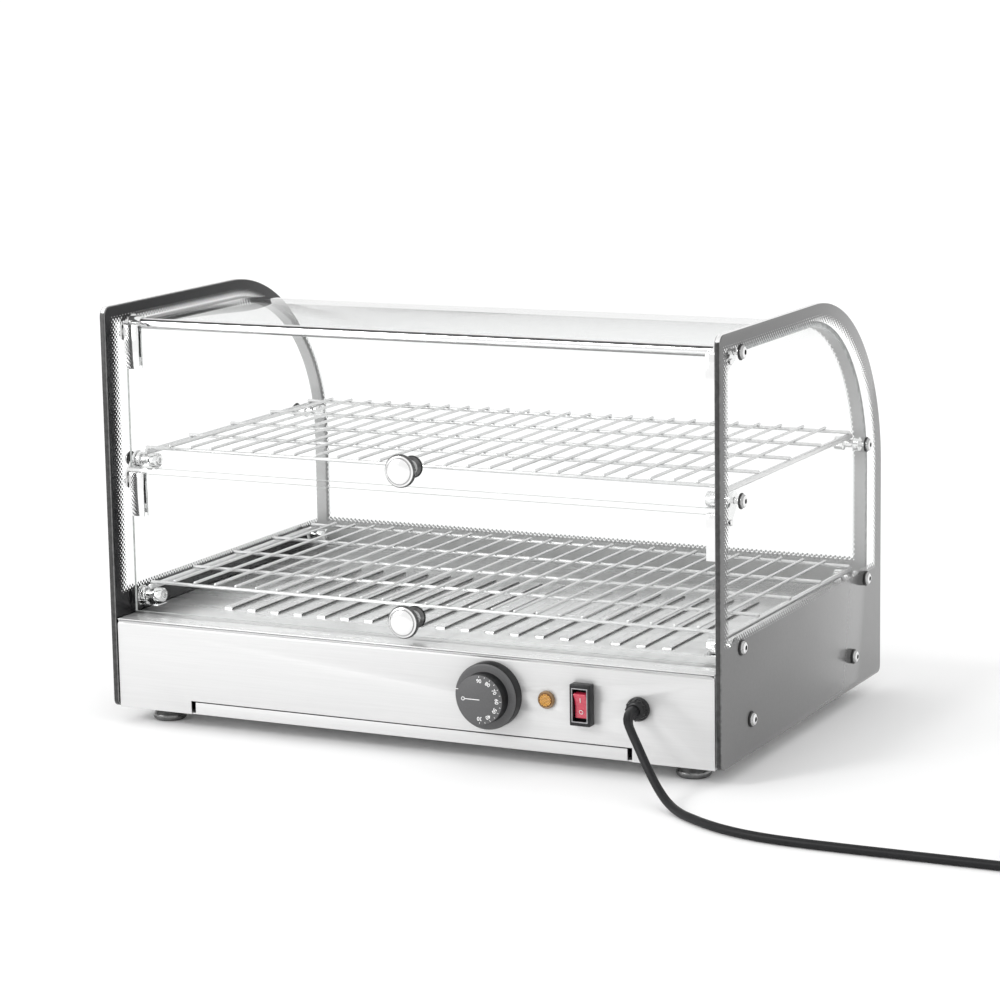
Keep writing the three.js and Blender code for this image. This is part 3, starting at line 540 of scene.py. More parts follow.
# Each step is an angle in degrees with the turn's radius and height there. The turns change place one
# after another, each before the turn under it needs the room, and the last one runs out straight.
def coilTurns():
    upper = cordSize["level"] + cordSize["diameter"]
    third = upper + cordSize["diameter"]
    outer, inner, low = cordSize["outer"], cordSize["inner"], cordSize["level"]
    steps = [(0, outer, low), (300, outer, low), (360, inner, low), (600, inner, low), (660, inner, upper),
             (900, inner, upper), (960, outer, upper), (1200, outer, upper), (1260, outer, third),
             (cordSize["coiled"], outer, third)]
    points = []
    stepAngle = 360 / cordSize["perTurn"]
    angle = 0.0
    while angle <= cordSize["coiled"]:
        for (start, startRadius, startHeight), (end, endRadius, endHeight) in zip(steps, steps[1:]):
            if start <= angle <= end:
                share = (angle - start) / (end - start)
                share = share * share * (3 - 2 * share)
                radius = startRadius + (endRadius - startRadius) * share
                height = startHeight + (endHeight - startHeight) * share
                break
        turn = math.radians(angle - 90)
        points.append((cordSize["centre"][0] + radius * math.cos(turn),
                       cordSize["centre"][1] + radius * math.sin(turn), height))
        angle += stepAngle
    endX = cordSize["centre"][0] + outer
    points += [(endX, cordSize["centre"][1] + 10, third), (endX, cordSize["centre"][1] + 20, third + 0.3),
               (endX, cordSize["centre"][1] + 30, third + 0.5)]
    return points


def makeCord():
    points = cordRoute + coilTurns()
    curve = bpy.data.curves.new("powerCord", "CURVE")
    curve.dimensions = "3D"
    curve.bevel_depth = cordSize["diameter"] / 2000
    curve.bevel_resolution = 4
    curve.resolution_u = 6
    curve.use_fill_caps = True
    line = curve.splines.new("BEZIER")
    line.bezier_points.add(len(points) - 1)
    for knot, point in zip(line.bezier_points, points):
        knot.co = Vector(point) / 1000
        knot.handle_left_type = knot.handle_right_type = "AUTO"
    cord = bpy.data.objects.new("powerCord", curve)
    bpy.context.scene.collection.objects.link(cord)
    curve.materials.append(cordRubber)
    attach(cord, "case")
    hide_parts("power_cord", "cord_coil")
    return cord


def makePlug():
    low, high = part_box("mains_plug")
    centre = Vector(((low.x + high.x) / 2, low.y, (low.z + high.z) / 2))
    body = turnPiece("mainsPlug", [
        (3.6, 0), (4.4, 0.6), (4.6, 6), (4.9, 14), (5.2, 22), (5.6, 30), (6.2, 36), (8.5, 40), (13, 45),
        (16.4, 51), (17.6, 57), (17.9, 64), (17.4, 70), (16.6, 71.6), (0.5, 72)], centre, (0, 1, 0), 40)
    pins = []
    for side in (-1, 1):
        pins.append(turnPiece(f"plugPin{side}", [
            (2.4, 70), (2.4, 86), (2.2, 89), (1.5, 90.6),
            (0.3, 91)], centre + Vector((side * 0.0095, 0, 0)), (0, 1, 0), 20))
    paint(body, blackPlastic)
    for pin in pins:
        paint(pin, mirrorSteel)
    plug = joinPieces("mainsPlug", [body, *pins])
    return seat(plug, "case", "black_rubber", "mains_plug")


def makeGland():
    low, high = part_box("cord_gland")
    centre = Vector(((low.x + high.x) / 2, at(0, 1, 0).y, (low.z + high.z) / 2))
    flange = turnPiece("cordGland", [
        (9.7, 0.3), (9.7, 2.4), (9.3, 3.2), (8.3, 3.6), (8.1, 4.2), (8.1, 6.4), (7.6, 8.0), (6.6, 9.0),
        (5.2, 9.4), (4.6, 8.6), (0.4, 8.6)], centre, (0, -1, 0), 40)
    grips = []
    for i in range(12):
        angle = math.radians(i * 30)
        spot = centre + Vector((8.0 * math.sin(angle) / 1000, 0, 8.0 * math.cos(angle) / 1000))
        grips.append(turnPiece(f"glandGrip{i}", [(0.9, 3.4), (0.9, 6.6), (0.3, 7.4)], spot, (0, -1, 0), 8))
    paint(flange, blackPlastic)
    for grip in grips:
        paint(grip, blackPlastic)
    gland = joinPieces("cordGland", [flange, *grips])
    seat(gland, "case", "black_plastic", "cord_gland")
    relief = turnPiece("strainRelief", [
        (4.8, 0), (4.75, 2), (4.5, 6), (4.2, 11), (3.95, 17), (3.75, 21.5), (3.6, 22.4)],
        (0, 0, 0), (0, 0, 1), 24)
    return gland, relief


# Bends a piece turned about +Z onto the first stretch of a line of points.
def bendOnto(piece, points, length):
    line = [Vector(p) / 1000 for p in points]
    for vertex in piece.data.vertices:
        along = min(vertex.co.z, length)
        left = along
        for first, second in zip(line, line[1:]):
            span = (second - first).length
            if left <= span:
                break
            left -= span
        tangent = (second - first).normalized()
        middle = first + tangent * left
        side = tangent.cross(Vector((1, 0, 0))).normalized()
        over = side.cross(tangent).normalized()
        vertex.co = middle + side * vertex.co.y + over * vertex.co.x


cord = makeCord()
plug = makePlug()
gland, relief = makeGland()


# Points along the curve from its start.
def densePoints(curveObject, count):
    bare = curveObject.copy()
    bare.data = curveObject.data.copy()
    bare.data.bevel_depth = 0
    bare.data.use_fill_caps = False
    bpy.context.scene.collection.objects.link(bare)
    bpy.context.view_layer.update()
    mesh = bare.evaluated_get(bpy.context.evaluated_depsgraph_get()).to_mesh()
    points = [tuple(v.co * 1000) for v in mesh.vertices][:count]
    bpy.data.objects.remove(bare)
    return points


bendOnto(relief, densePoints(cord, 60), cordSize["relief"] / 1000)
paint(relief, cordRubber)
smooth(relief)
seat(relief, "case", "black_rubber")


tieSize = {"wide": 18.5, "high": 21.8, "band": 6.0, "sheet": 0.9, "z": 11.9}


# A band round the coil's section.
def makeCoilTie():
    x, y = cordSize["centre"]
    middle = (cordSize["outer"] + cordSize["inner"]) / 2
    centre = Vector((x - middle, y, tieSize["z"])) / 1000
    clearSelection()
    bpy.ops.mesh.primitive_cylinder_add(vertices=32, radius=0.5, depth=tieSize["band"] / 1000,
                                        location=centre, rotation=(math.pi / 2, 0, 0))
    tie = named("coilTie")
    tie.scale = (tieSize["wide"] / 1000, tieSize["high"] / 1000, 1)
    fixPlace(tie)
    removeFaces(tie, lambda face: abs(face.normal.y) > 0.9, True)
    applyModifier(tie, "SOLIDIFY", thickness=tieSize["sheet"] / 1000, offset=1)
    softenEdges(tie, 0.0002, 2)
    smooth(tie)
    paint(tie, blackPlastic)
    return seat(tie, "case", "black_rubber")


tie = makeCoilTie()
print("camera and cord made")


# Side panes.
def makeSidePane():
    pane = addBlock("sidePaneRight", at(paneSize["inner"], 0, paneSize["bottom"]),
                    at(paneSize["inner"] + paneSize["thick"], paneSize["depth"], paneSize["top"]))
    back, front = at(0, paneSize["depth"], 0).y, at(0, 0, 0).y
    high, low = paneSize["top"] / 1000, paneSize["bottom"] / 1000
    for y, z, radius, segments in ((back, high, paneSize["bend"], 48), (front, high, 8, 8),
                                   (front, low, 6, 8), (back, low, 6, 8)):
        bevelEdges(pane, radius, segments, edgeAt(y, z))
    softenEdges(pane, 0.0007, 2, 60)
    smooth(pane, 30)
    middle = at(paneSize["inner"] + paneSize["thick"] / 2, 0, 0).x
    rim = (paneSize["thick"] / 2 - 0.75) / 1000
    edge = [abs(p.center.x - middle) < rim and abs(p.normal.x) < 0.5 for p in pane.data.polygons]
    paint(pane, outerPrint)
    paintFaces(pane, paneEdge, lambda p: edge[p.index])
    # the edge faces that look up and the ones that look back are painted light: a painted highlight where
    # light falls on the edge
    paintFaces(pane, paneEdgeLight, lambda p: edge[p.index] and (p.normal.z > 0.3 or p.normal.y > 0.3))
    # the bevelled rim is painted a flat grey line: a painted reflection of the bevel
    paintFaces(pane, paneBevel, lambda p: 0.25 < abs(p.normal.x) < 0.95)
    return pane


rightPane = makeSidePane()
leftPane = mirrorPiece(rightPane, "sidePaneLeft")
paintFaces(rightPane, barePane, lambda p: p.normal.x < -0.95)
leftPane.data.materials[0] = outerBase
paintFaces(leftPane, innerPrint, lambda p: p.normal.x > 0.95)
seat(rightPane, "case", "printed_glass", "side_pane_right")
seat(leftPane, "case", "printed_glass", "side_pane_left")
print("side panes made")


# Bent pane.
def makeBentPane():
    pane = addBlock("bentPane", at(-bentSize["half"], bentSize["front"], bentSize["bottom"]),
                    at(bentSize["half"], bentSize["rear"], bentSize["top"]))
    removeFaces(pane, lambda face: not (face.normal.z > 0.9 or face.normal.y > 0.9))
    back, high = bentSize["rear"] / 1000 + frontY, bentSize["top"] / 1000
    bevelEdges(pane, bentSize["bend"], 56, edgeAt(back, high), recalculate=False)
    applyModifier(pane, "SOLIDIFY", thickness=bentSize["thick"] / 1000, offset=-1)
    editParts(pane, "FACE", lambda face: True)
    leaveEdit()
    softenEdges(pane, 0.0006, 2, 60)
    smooth(pane, 30)
    paint(pane, bentPaneGlass)
    half = bentSize["half"] / 1000
    front, bottom = at(0, bentSize["front"], 0).y, bentSize["bottom"] / 1000
    paintFaces(pane, bentEdge, lambda p: abs(p.center.x) > half - 0.0007 or p.center.y < front + 0.0007
               or p.center.z < bottom + 0.0007)
    return seat(pane, "case", "clear_glass", "bent_pane")


makeBentPane()
print("bent pane made")


# Doors.
doorSize = {"half": 268.2, "face": 24.8, "thick": 4.0, "clipHeight": 37.3, "clipWidth": 14.3, "sheet": 1.0,
            "gap": 0.3, "hinges": {"upper": 330.2, "lower": 205.2},
            "bottoms": {"upper": 215.5, "lower": 92.0},
            "clipTop": 6.5, "knobRise": 17.0}


def makeDoor(which):
    hinge, bottom = doorSize["hinges"][which], doorSize["bottoms"][which]
    top = hinge + doorSize["clipTop"]
    glassTop = top - doorSize["sheet"] - doorSize["gap"]
    glass = addBlock(f"{which}DoorGlass", at(-doorSize["half"], doorSize["face"], bottom),
                     at(doorSize["half"], doorSize["face"] + doorSize["thick"], glassTop))
    softenEdges(glass, 0.0006, 2)
    smooth(glass, 30)
    paint(glass, doorGlass)
    middleY = at(0, doorSize["face"] + doorSize["thick"] / 2, 0).y
    paintFaces(glass, doorEdge, lambda p: abs(p.center.y - middleY) < 0.0014)
    seat(glass, f"{which}_door", "clear_glass", f"{which}_door_glass")

    outerX = doorSize["half"] + doorSize["gap"] + doorSize["sheet"]
    face = doorSize["face"] - doorSize["gap"] - doorSize["sheet"]
    back = doorSize["face"] + doorSize["thick"] + doorSize["gap"] + doorSize["sheet"]
    clip = addBlock(f"{which}DoorClipRight", at(outerX - doorSize["clipWidth"], face,
                                                top - doorSize["clipHeight"]),
                    at(outerX, back, top))
    removeFaces(clip, lambda f: f.normal.z < -0.9 or f.normal.x < -0.9)
    softenEdges(clip, 0.0008, 3)
    applyModifier(clip, "SOLIDIFY", thickness=doorSize["sheet"] / 1000, offset=-1)
    softenEdges(clip, 0.00015, 2, 50)
    smooth(clip)
    pin = turnPiece(f"{which}PinRight", [(2.5, 0), (2.5, 6.2), (2.1, 6.9), (0.4, 7)],
                    at(outerX - 0.5, doorSize["face"] + doorSize["thick"] / 2, hinge), (1, 0, 0), 24)
    paint(clip, mirrorSteel)
    paint(pin, mirrorSteel)
    clip = joinPieces(f"{which}DoorClipRight", [clip, pin])
    other = mirrorPiece(clip, f"{which}DoorClipLeft")
    seat(clip, f"{which}_door", "polished_steel", f"{which}_door_clip_right")
    seat(other, f"{which}_door", "polished_steel", f"{which}_door_clip_left")

    base = at(0, doorSize["face"], bottom + doorSize["knobRise"])
    knob = turnPiece(f"{which}DoorKnob", [
        (8.6, 0.3), (8.6, 1.6), (7.6, 2.6), (6.0, 3.4), (5.0, 5), (4.6, 8), (4.5, 12), (5.0, 14.6),
        (7.0, 16.6),
        (10.5, 18.2), (13.0, 19.4), (13.7, 20.8), (13.6, 22.2), (12.6, 23.6), (11.4, 24.2), (10.8, 24.3),
        (10.4, 24.9),
        (9.4, 25.5), (7.4, 26.0), (4.6, 26.3), (2.0, 26.4), (0.3, 26.4)], base, (0, -1, 0), 64)
    stud = turnPiece(f"{which}KnobStud", [
        (1.9, 0), (1.9, 4.4), (5.2, 4.4), (5.2, 6.4), (4.6, 7), (0.4, 7)], base, (0, 1, 0), 32)
    washer = turnPiece(f"{which}KnobWasher", [(9.2, 0.05), (9.2, 0.9), (8.7, 1.0), (0.5, 1.0)], base,
                       (0, -1, 0), 40)
    paint(knob, knobChrome)
    front = base.y

    def ringRadius(p):
        return math.hypot(p.center.x - base.x, p.center.z - base.z) * 1000

    # the rim, the flange by the glass, the neck and a ring on the face are painted darker: painted
    # reflections and shade on the chrome knob
    paintFaces(knob, darkChrome, lambda p: ringRadius(p) > 12.9 or (front - p.center.y) * 1000 < 3)
    paintFaces(knob, greyChrome, lambda p: ringRadius(p) < 12.9 and 3 < (front - p.center.y) * 1000 < 19)
    paintFaces(knob, greyChrome,
               lambda p: 10.3 < ringRadius(p) < 11.6 and (front - p.center.y) * 1000 > 23.9)
    paint(stud, mirrorSteel)
    paint(washer, washerRubber)
    knob = joinPieces(f"{which}DoorKnob", [knob, stud, washer])
    seat(knob, f"{which}_door", "polished_steel", f"{which}_door_knob")


knobChrome = mixedMaterial('knobChrome', 0.86, 0.9, (0.1, 0.14), metallic=1.0, scale=120)
makeDoor("upper")
makeDoor("lower")
print("doors made")


# Rail, bolts and pegs.
def makeRail():
    low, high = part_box("top_rail")
    centre = Vector((low.x, (low.y + high.y) / 2, (low.z + high.z) / 2))
    span = (high.x - low.x) * 1000
    rail = turnPiece("topRail", [(4.1, 0), (4.5, 0.4), (4.5, span - 0.4), (4.1, span)], centre, (1, 0, 0),
                     48)
    paint(rail, mirrorSteel)
    # a band of faces that look up and towards the front is painted dark as a painted reflection line, and
    # the underside is painted grey as painted shade
    paintFaces(rail, darkChrome,
               lambda p: abs(p.normal.x) < 0.5 and 0.45 < p.normal.z < 0.85 and p.normal.y < 0)
    paintFaces(rail, greyChrome, lambda p: abs(p.normal.x) < 0.5 and p.normal.z < -0.45)
    seat(rail, "case", "polished_steel", "top_rail")


makeRail()
boltSize = {"height": 4.4, "shank": 2.4, "nut": 4.5, "nutDepth": 3.0}


def makeBolt(node):
    low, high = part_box(node)
    side = 1 if low.x > 0 else -1
    face = Vector((side * (paneSize["inner"] + paneSize["thick"]) / 1000, (low.y + high.y) / 2,
                   (low.z + high.z) / 2))
    out = (side, 0, 0)
    head = turnPiece("head", [
        (5.4, 1.3), (5.5, 1.9), (5.2, 2.8), (4.3, 3.7), (3.2, 4.2), (2.3, 4.4), (2.0, 4.3), (1.9, 2.6),
        (0.3, 2.4)], face, out, 32)
    washer = turnPiece("washer", [(6.2, 0.02), (6.4, 0.4), (6.4, 0.9), (6.0, 1.3), (0.5, 1.3)], face, out,
                       32)
    reach = (high.x - low.x) * 1000 - boltSize["height"]
    shank, nut = boltSize["shank"], boltSize["nut"]
    parts = [head, washer, turnPiece("shank", [
        (shank, 0), (shank, reach - 0.4), (2.0, reach), (0.3, reach)], face, (-side, 0, 0), 20)]
    if node.startswith("base"):
        parts.append(turnPiece("nut", [
            (nut, reach - boltSize["nutDepth"]), (nut, reach - 0.3), (4.0, reach), (0.3, reach)],
            face, (-side, 0, 0), 6))
    for part in parts:
        paint(part, washerRubber if part is washer else mirrorSteel)

    def fromAxis(p):
        return math.hypot(p.center.y - face.y, p.center.z - face.z) * 1000

    def outward(p):
        return side * (p.center.x - face.x) * 1000

    # the socket in the dome is painted black as painted shade in the recess, and a grey ring round the
    # dome's base is painted shade and reflection
    paintFaces(head, washerRubber, lambda p: fromAxis(p) < 2.1 and outward(p) > 2)
    paintFaces(head, greyChrome, lambda p: 4.2 < fromAxis(p) and outward(p) < 3.3)
    bolt = joinPieces(pieceName(node), parts)
    seat(bolt, "case", "polished_steel", node)


def makePeg(node):
    low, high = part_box(node)
    side = 1 if low.x > 0 else -1
    start = high.x if side > 0 else low.x
    length = (high.x - low.x) * 1000
    foot = Vector((start, (low.y + high.y) / 2, (low.z + high.z) / 2))
    neck = length - 9.3
    peg = turnPiece("peg", [
        (5.6, 0), (6.0, 0.4), (6.0, neck - 8.6), (5.4, neck - 7.9), (3.5, neck - 7.4), (3.5, neck),
        (5.4, neck + 0.5),
        (6.0, neck + 1.2), (6.0, length - 1.2), (5.6, length - 0.5), (4.8, length - 0.1), (2.4, length),
        (2.2, length - 2), (0.3, length - 2)], foot, (-side, 0, 0), 36)
    paint(peg, mirrorSteel)
    rename(peg, pieceName(node))
    seat(peg, "case", "polished_steel", node)


for node in sorted(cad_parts):
    if "_bolt_" in node:
        makeBolt(node)
    elif "_peg_" in node:
        makePeg(node)
print("bolts and pegs made")


# Wire shelves.
shelfSize = {"rod": 5.0, "cross": 3.0, "long": 2.5, "crossCount": 5, "longCount": 25, "pitch": 20.0,
             "rodX": 262.0, "crossEnd": 264.0, "front": 44.0, "rear": 322.0, "over": 6.0, "weld": 0.4}


def makeWire(name, radius, start, end, sides):
    span = (Vector(end) - Vector(start))
    reach = span.length * 1000
    return turnPiece(name, [
        (radius * 0.4, 0), (radius * 0.85, radius * 0.25), (radius, radius * 0.7),
        (radius, reach - radius * 0.7),
        (radius * 0.85, reach - radius * 0.25), (radius * 0.4, reach)], start, span.normalized(), sides)


def makeShelf(which):
    node = f"{which}_shelf"
    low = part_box(node)[0]
    rodZ = low.z * 1000 + shelfSize["rod"] / 2
    crossZ = rodZ + (shelfSize["rod"] + shelfSize["cross"]) / 2 - shelfSize["weld"]
    longZ = crossZ + (shelfSize["cross"] + shelfSize["long"]) / 2 - shelfSize["weld"]
    rods = [makeWire("rod", shelfSize["rod"] / 2, at(side * shelfSize["rodX"],
                                                     shelfSize["front"] - shelfSize["over"], rodZ),
                     at(side * shelfSize["rodX"], shelfSize["rear"] + shelfSize["over"], rodZ),
                     16) for side in (-1, 1)]
    cross = makeWire("cross", shelfSize["cross"] / 2,
                     at(-shelfSize["crossEnd"], shelfSize["front"], crossZ),
                     at(shelfSize["crossEnd"], shelfSize["front"], crossZ), 14)
    step = (shelfSize["rear"] - shelfSize["front"]) / (shelfSize["crossCount"] - 1) / 1000
    repeatPiece(cross, shelfSize["crossCount"], (0, step, 0))
    half = (shelfSize["longCount"] - 1) / 2 * shelfSize["pitch"]
    run = makeWire("long", shelfSize["long"] / 2, at(-half, shelfSize["front"] - shelfSize["cross"] / 2,
                                                     longZ),
                   at(-half, shelfSize["rear"] + 4, longZ), 12)
    repeatPiece(run, shelfSize["longCount"], (shelfSize["pitch"] / 1000, 0, 0))
    shelf = joinPieces(f"{which}Shelf", [run, cross, *rods])
    paint(shelf, wireSteel)
    seat(shelf, f"{which}_rack", "shelf_wire", node)


makeShelf("upper")
makeShelf("lower")
print("shelves made")


# Base: deck with louvres.
deckSize = {"half": 271.0, "top": 90.2, "sheet": 1.0, "front": 1.0, "rear": 349.0}
louvre = {"count": 19, "pitch": 22.5, "width": 9.0, "length": 190.0, "front": 66.0, "lift": 2.4,
          "sheet": 0.7, "round": 2.2, "sink": 0.4}
# sizes of the painted shade plates under the louvre hoods
slotShadeSize = {"edge": 1.0, "over": 0.6, "end": 2.0, "low": 0.02, "high": 0.1}


def makeDeck():
    deck = addBlock("deckPlate", at(-deckSize["half"], deckSize["front"],
                                    deckSize["top"] - deckSize["sheet"]),
                    at(deckSize["half"], deckSize["rear"], deckSize["top"]))
    softenEdges(deck, 0.0004, 2)
    smooth(deck)
    first = -(louvre["count"] - 1) / 2 * louvre["pitch"]
    left = first - louvre["width"] / 2
    right = first + louvre["width"] / 2
    front = louvre["front"]
    rear = front + louvre["length"]
    step = (louvre["pitch"] / 1000, 0, 0)
    hood = addBlock("hood", at(left, front, deckSize["top"] - louvre["sink"]),
                    at(right, rear, deckSize["top"] + louvre["lift"]))
    removeFaces(hood, lambda face: face.normal.x > 0.9 or face.normal.z < -0.9)
    softenEdges(hood, louvre["round"] / 1000, 6)
    applyModifier(hood, "SOLIDIFY", thickness=louvre["sheet"] / 1000, offset=-1)
    smooth(hood, 50)
    repeatPiece(hood, louvre["count"], step)
    # darker plates under each louvre hood are painted shade where the slot opens under the hood
    slotDark = addBlock("slotDark", at(left + slotShadeSize["edge"], front + slotShadeSize["end"],
                                       deckSize["top"] + slotShadeSize["low"]),
                        at(right + slotShadeSize["over"], rear - slotShadeSize["end"],
                           deckSize["top"] + slotShadeSize["high"]))
    softenEdges(slotDark, 0.00003, 1)
    repeatPiece(slotDark, louvre["count"], step)
    paint(deck, deckSteel)
    paint(hood, deckSteel)
    paint(slotDark, slotSteel)
    deck = joinPieces("deckPlate", [deck, hood, slotDark])
    seat(deck, "case", "polished_steel", "deck_plate")


makeDeck()

panelSize = {"half": 271.0, "face": 1.0, "sheet": 1.0, "bottom": 14.0, "top": 88.9, "corner": 4.0,
             "trayHalf": 201.2, "trayTop": 25.3, "holeZ": 57.7, "switchHole": (6.8, 14.3)}


def cutWith(piece, cutter):
    applyModifier(piece, "BOOLEAN", operation="DIFFERENCE", solver="EXACT", object=cutter)
    bpy.data.objects.remove(cutter)


def makeFrontPanel():
    panel = addBlock("frontPanel", at(-panelSize["half"], panelSize["face"], panelSize["bottom"]),
                     at(panelSize["half"], panelSize["face"] + panelSize["sheet"], panelSize["top"]))
    high = panelSize["top"] / 1000
    half = panelSize["half"] / 1000
    bevelEdges(panel, panelSize["corner"], 8, lambda edge: all(
        abs(v.co.z - high) < 1e-5 and abs(abs(v.co.x) - half) < 1e-5 for v in edge.verts))
    notch = addBlock("notch", at(-panelSize["trayHalf"], -5, 0),
                     at(panelSize["trayHalf"], 8, panelSize["trayTop"]))
    cutWith(panel, notch)
    for control, diameter in (("dial", 10), ("lamp", 11.6), ("gland", 15.6)):
        place = at(controls[control], panelSize["face"], panelSize["holeZ"])
        clearSelection()
        bpy.ops.mesh.primitive_cylinder_add(vertices=32, radius=diameter / 2000, depth=0.02, location=place,
                                            rotation=(math.pi / 2, 0, 0))
        cutWith(panel, named("holeCutter"))
    wide, tall = panelSize["switchHole"]
    cutWith(panel, addBlock("switchHole", at(controls["switch"] - wide, -5, controls["z"] - tall),
                            at(controls["switch"] + wide, 8, controls["z"] + tall)))
    softenEdges(panel, 0.0003, 2, 50)
    smooth(panel)
    paint(panel, panelSteel)
    seat(panel, "case", "brushed_panel", "front_panel")


makeFrontPanel()


shellSize = {"sheet": 1.0, "round": 1.5, "vents": 14, "ventSpan": 200, "ventZ": 52}


def makeShell():
    low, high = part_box("base_shell")
    shell = addBlock("baseShell", low, high)
    removeFaces(shell, lambda face: face.normal.z > 0.9 or face.normal.y < -0.9)
    softenEdges(shell, shellSize["round"] / 1000, 3)
    applyModifier(shell, "SOLIDIFY", thickness=shellSize["sheet"] / 1000, offset=-1)
    smooth(shell)
    vents = []
    for i in range(shellSize["vents"]):
        x = shellSize["ventSpan"] * (i / (shellSize["vents"] - 1) - 0.5)
        spot = at(x, (high.y - frontY) * 1000, shellSize["ventZ"])
        # each vent is a thin black disc on the shell: painted shade for the dark inside of the vent hole
        vent = turnPiece("vent", [(2.6, 0.02), (2.6, 0.1), (2.2, 0.14), (0.4, 0.14)], spot, (0, 1, 0), 16)
        paint(vent, washerRubber)
        vents.append(vent)
    paint(shell, panelSteel)
    shell = joinPieces("baseShell", [shell, *vents])
    seat(shell, "case", "brushed_panel", "base_shell")


makeShell()


# The sizes of the tray are metres, as its box is.
traySize = {"inset": 0.002, "sheet": 0.001, "lap": 0.0005}


def makeTray():
    low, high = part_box("crumb_tray")
    inset, sheet = traySize["inset"], traySize["sheet"]
    pan = addBlock("crumbTray", (low.x + inset, low.y + traySize["lap"], low.z + sheet),
                   (high.x - inset, high.y, high.z - sheet))
    removeFaces(pan, lambda face: face.normal.z > 0.9)
    applyModifier(pan, "SOLIDIFY", thickness=sheet, offset=-1)
    flap = addBlock("trayFlap", low, (high.x, low.y + sheet, high.z))
    softenEdges(flap, 0.0003, 2)
    smooth(flap)
    paint(pan, innerSteel)
    paint(flap, panelSteel)
    tray = joinPieces("crumbTray", [flap, pan])
    seat(tray, "tray", "brushed_panel", "crumb_tray")


makeTray()
print("base made")


# Feet.
def makeFoot(node):
    low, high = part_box(node)
    centre = Vector(((low.x + high.x) / 2, (low.y + high.y) / 2, 0))
    foot = turnPiece("foot", [
        (11.8, 0), (12.6, 0.3), (13.6, 1.2), (14.2, 2.6), (14.3, 3.8), (13.9, 5.2), (12.9, 7.0),
        (11.9, 9.4),
        (11.2, 12.0), (11.0, 13.4), (10.4, 13.7), (2.5, 13.7), (2.5, 15.4), (4.5, 15.4), (4.5, 18.3),
        (0.4, 18.3)], centre, (0, 0, 1), 56)
    rename(foot, pieceName(node))
    paint(foot, mirrorSteel)
    # the cup, the bottom rim and the band above it are painted in darker chrome: painted reflections on the
    # polished foot
    paintFaces(foot, darkChrome, lambda p: 0.0046 < p.center.z < 0.014 or p.center.z < 0.0008)
    paintFaces(foot, footChrome, lambda p: 0.0008 < p.center.z < 0.0046)
    seat(foot, "case", "polished_steel", node)


for node in ("foot_front_left", "foot_front_right", "foot_rear_left", "foot_rear_right"):
    makeFoot(node)
print("feet made")


# Thermostat dial.
dialSize = {"skirt": 27.15, "hub": 20.15, "depth": 21.8, "numbers": (90, 80, 70, 60, 50, 40, 30),
            "textHeight": 4.4, "textRadius": 15.2, "textTurn": 30, "ticks": 13, "tickTurn": 15,
            "tickIn": 17.9, "tickOut": 19.4}


# Letters that stand on a face looking towards the front.
def addText(words, size, centre, turn, depth=0.00012):
    clearSelection()
    bpy.ops.object.text_add(location=(0, 0, 0))
    text = bpy.context.object
    text.data.body = words
    text.data.size = size / 1000
    text.data.align_x = "CENTER"
    text.data.align_y = "CENTER"
    text.data.extrude = depth
    text.data.offset = 0.00004
    bpy.ops.object.convert(target="MESH")
    letters = bpy.context.object
    upright = Matrix.Rotation(math.pi / 2, 4, "X")
    letters.matrix_world = Matrix.Translation(centre) @ upright @ Matrix.Rotation(turn, 4, "Z")
    fixPlace(letters)
    return letters


